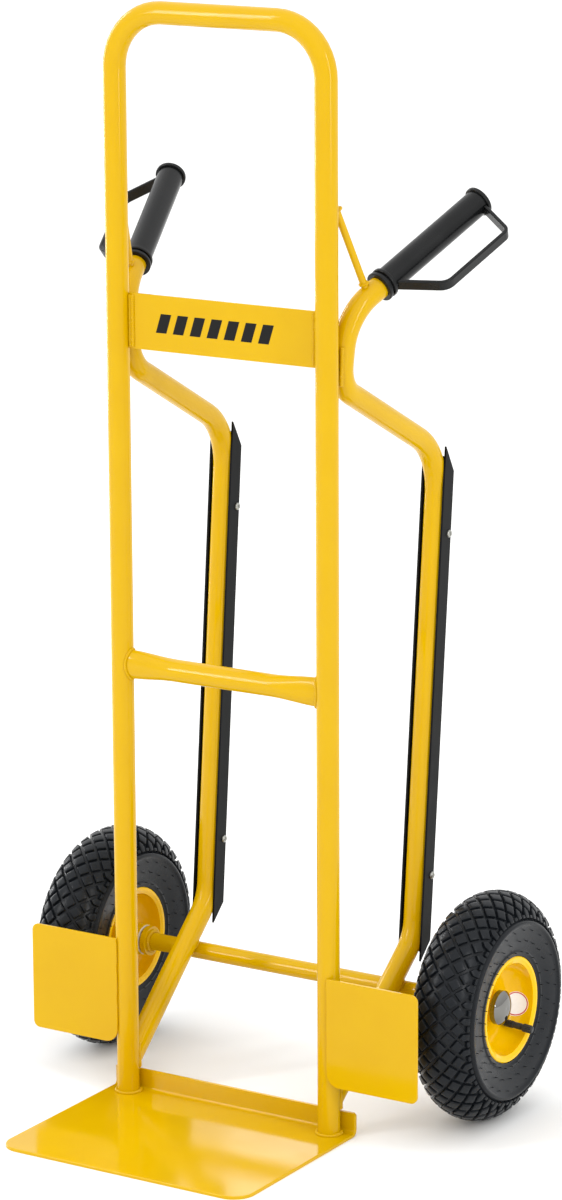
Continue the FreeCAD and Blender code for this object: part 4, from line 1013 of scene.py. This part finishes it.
# ---------------------------------------------------------------- finishes on the frame
FINISHED_IN = {
    "Yellow powder coat": (
        "front_frame", "toe_plate", "cross_bar", "name_plate", "axle", "rear_tube", "brace_rod",
        "wheel_guard", "axle_stop", "hub"),
    "Yellow rim enamel": ("rim_outer", "rim_inner"),
    "Zinc plate": ("thrust_washer",),
    "Chrome plate": ("axle_cap",),
    "Grip PVC": ("grip",),
    "Extruded polyethylene": ("glide",),
    "Butyl tube": ("inner_tube",),
    "Nylon bush": ("bush_inner", "bush_outer"),
}


class TRUCK_OT_paint(bpy.types.Operator):
    """Gives every part of the frame its own finish"""

    bl_idname = "truck.paint"
    bl_label = "Finishes"

    def execute(self, context):
        """Assigns a finish to each part that is shown."""
        finish_of = {part: name for name, parts in FINISHED_IN.items() for part in parts}
        for name, node in frame["nodes"].items():
            if node.hide_render:
                continue
            base = name.removesuffix("_right").removesuffix("_left")
            finish = finishes()[finish_of[base]]
            if not node.material_slots:
                node.data.materials.append(finish)
            for slot in node.material_slots:
                slot.material = finish
        return {"FINISHED"}


# ---------------------------------------------------------------- stage
class TRUCK_OT_stage(bpy.types.Operator):
    """Sets the floor, the soft light and the camera"""

    bl_idname = "truck.stage"
    bl_label = "Stage"

    def execute(self, context):
        """Builds the pale floor, three softboxes, two low panels, the sky and the camera."""
        look = context.scene.truck_stage
        half = look.floor / 2
        floor = mesh_object(
            "floor", [(-half, -half, 0), (half, -half, 0), (half, half, 0), (-half, half, 0)], [(0, 1, 2, 3)])
        finish, tree, place = blank("Matt white floor")
        cloud = add(tree, "ShaderNodeTexNoise", {"Vector": place, "Scale": 1.5, "Detail": 2.0})
        tone = add(tree, "ShaderNodeMix", {
            "Factor": cloud.outputs["Fac"], 6: linear("#F4F4F3"), 7: linear("#F0F0EF")}, data_type="RGBA")
        close(tree, add(tree, "ShaderNodeBsdfPrincipled", {"Base Color": tone.outputs[2], "Roughness": 0.9}))
        wear(floor, finish)

        centre = Vector((0, 0, 0.62))
        for name, spot, size, power in (
                ("key_softbox", (-2.2, -3.2, 2.6), (0.35, 2.6), look.key),
                ("edge_strip", (-3.2, 0.7, 1.4), (0.2, 2.6), look.edge),
                ("fill_softbox", (3.4, -0.8, 1.8), (0.3, 2.6), look.fill),
                ("low_panel_right", (-1.75, 3.1, 1.42), (0.42, 0.17), look.panel),
                ("low_panel_left", (-2.75, 2.9, 1.55), (0.3, 0.3), look.panel)):
            lamp = bpy.data.lights.new(name, "AREA")
            lamp.shape = "RECTANGLE"
            lamp.size, lamp.size_y = size
            lamp.energy = power
            holder = bpy.data.objects.new(name, lamp)
            context.scene.collection.objects.link(holder)
            holder.location = spot
            holder.visible_camera = False
            holder.rotation_mode = "QUATERNION"
            holder.rotation_quaternion = (centre - Vector(spot)).to_track_quat("-Z", "Y")

        world = bpy.data.worlds.new("White studio")
        context.scene.world = world
        world.use_nodes = True
        world.node_tree.nodes.clear()
        height = add(world.node_tree, "ShaderNodeTexCoord").outputs["Generated"]
        height = add(world.node_tree, "ShaderNodeSeparateXYZ", {0: height}).outputs["Z"]
        glow = add(world.node_tree, "ShaderNodeMapRange", {
            "Value": height, "From Min": 0.1, "From Max": 0.7, "To Min": look.horizon, "To Max": look.sky})
        sky = add(world.node_tree, "ShaderNodeBackground", {"Color": (1, 1, 1, 1), "Strength": glow})
        add(world.node_tree, "ShaderNodeOutputWorld", {"Surface": sky})
        context.scene.view_settings.view_transform = "Standard"

        lens = bpy.data.cameras.new("camera")
        lens.sensor_width = 36
        lens.lens = 131.34
        lens.clip_end = 60
        camera = bpy.data.objects.new("camera", lens)
        context.scene.collection.objects.link(camera)
        # the camera's own right and up, then its place
        right = Vector((0.84821, 0.52963, -0.00512))
        up = Vector((-0.11964, 0.20101, 0.97226))
        back = right.cross(up).normalized()
        up = back.cross(right).normalized()
        turned = Matrix((right.normalized(), up, back)).transposed()
        camera.location = (2.50325, -3.87973, 1.70027)
        camera.rotation_mode = "QUATERNION"
        camera.rotation_quaternion = turned.to_quaternion()
        context.scene.camera = camera
        return {"FINISHED"}


# ---------------------------------------------------------------- panel
OPERATORS = (
    TRUCK_OT_tyres,
    TRUCK_OT_valves,
    TRUCK_OT_welds,
    TRUCK_OT_screws,
    TRUCK_OT_marks,
    TRUCK_OT_paint,
    TRUCK_OT_stage,
)


class TRUCK_PT_looks(bpy.types.Panel):
    """Lists the settings and the pieces of the hand truck"""

    bl_label = "Hand truck"
    bl_space_type = "VIEW_3D"
    bl_region_type = "UI"
    bl_category = "Hand truck"

    def draw(self, context):
        """Draws each group of settings, then each piece's button."""
        for name in SETTINGS:
            group = getattr(context.scene, name)
            column = self.layout.column()
            for key in group.bl_rna.properties.keys():
                if key not in ("name", "rna_type"):
                    column.prop(group, key)
        for kind in OPERATORS:
            self.layout.operator(kind.bl_idname)


SETTINGS = {
    "truck_tyres": TyreSettings,
    "truck_beads": BeadSettings,
    "truck_marks": MarkSettings,
    "truck_paint": PaintSettings,
    "truck_stage": StageSettings,
}


def register():
    """Registers the settings, the operators and the panel."""
    for name, kind in SETTINGS.items():
        bpy.utils.register_class(kind)
        setattr(bpy.types.Scene, name, bpy.props.PointerProperty(type=kind))
    for kind in OPERATORS + (TRUCK_PT_looks,):
        bpy.utils.register_class(kind)


def unregister():
    """Takes them all off again."""
    for kind in OPERATORS + (TRUCK_PT_looks,):
        bpy.utils.unregister_class(kind)
    for name, kind in SETTINGS.items():
        delattr(bpy.types.Scene, name)
        bpy.utils.unregister_class(kind)


def main():
    """Builds everything in order."""
    register()
    for kind in OPERATORS:
        place, name = kind.bl_idname.split(".")
        getattr(getattr(bpy.ops, place), name)()


if __name__ == "__main__":
    main()
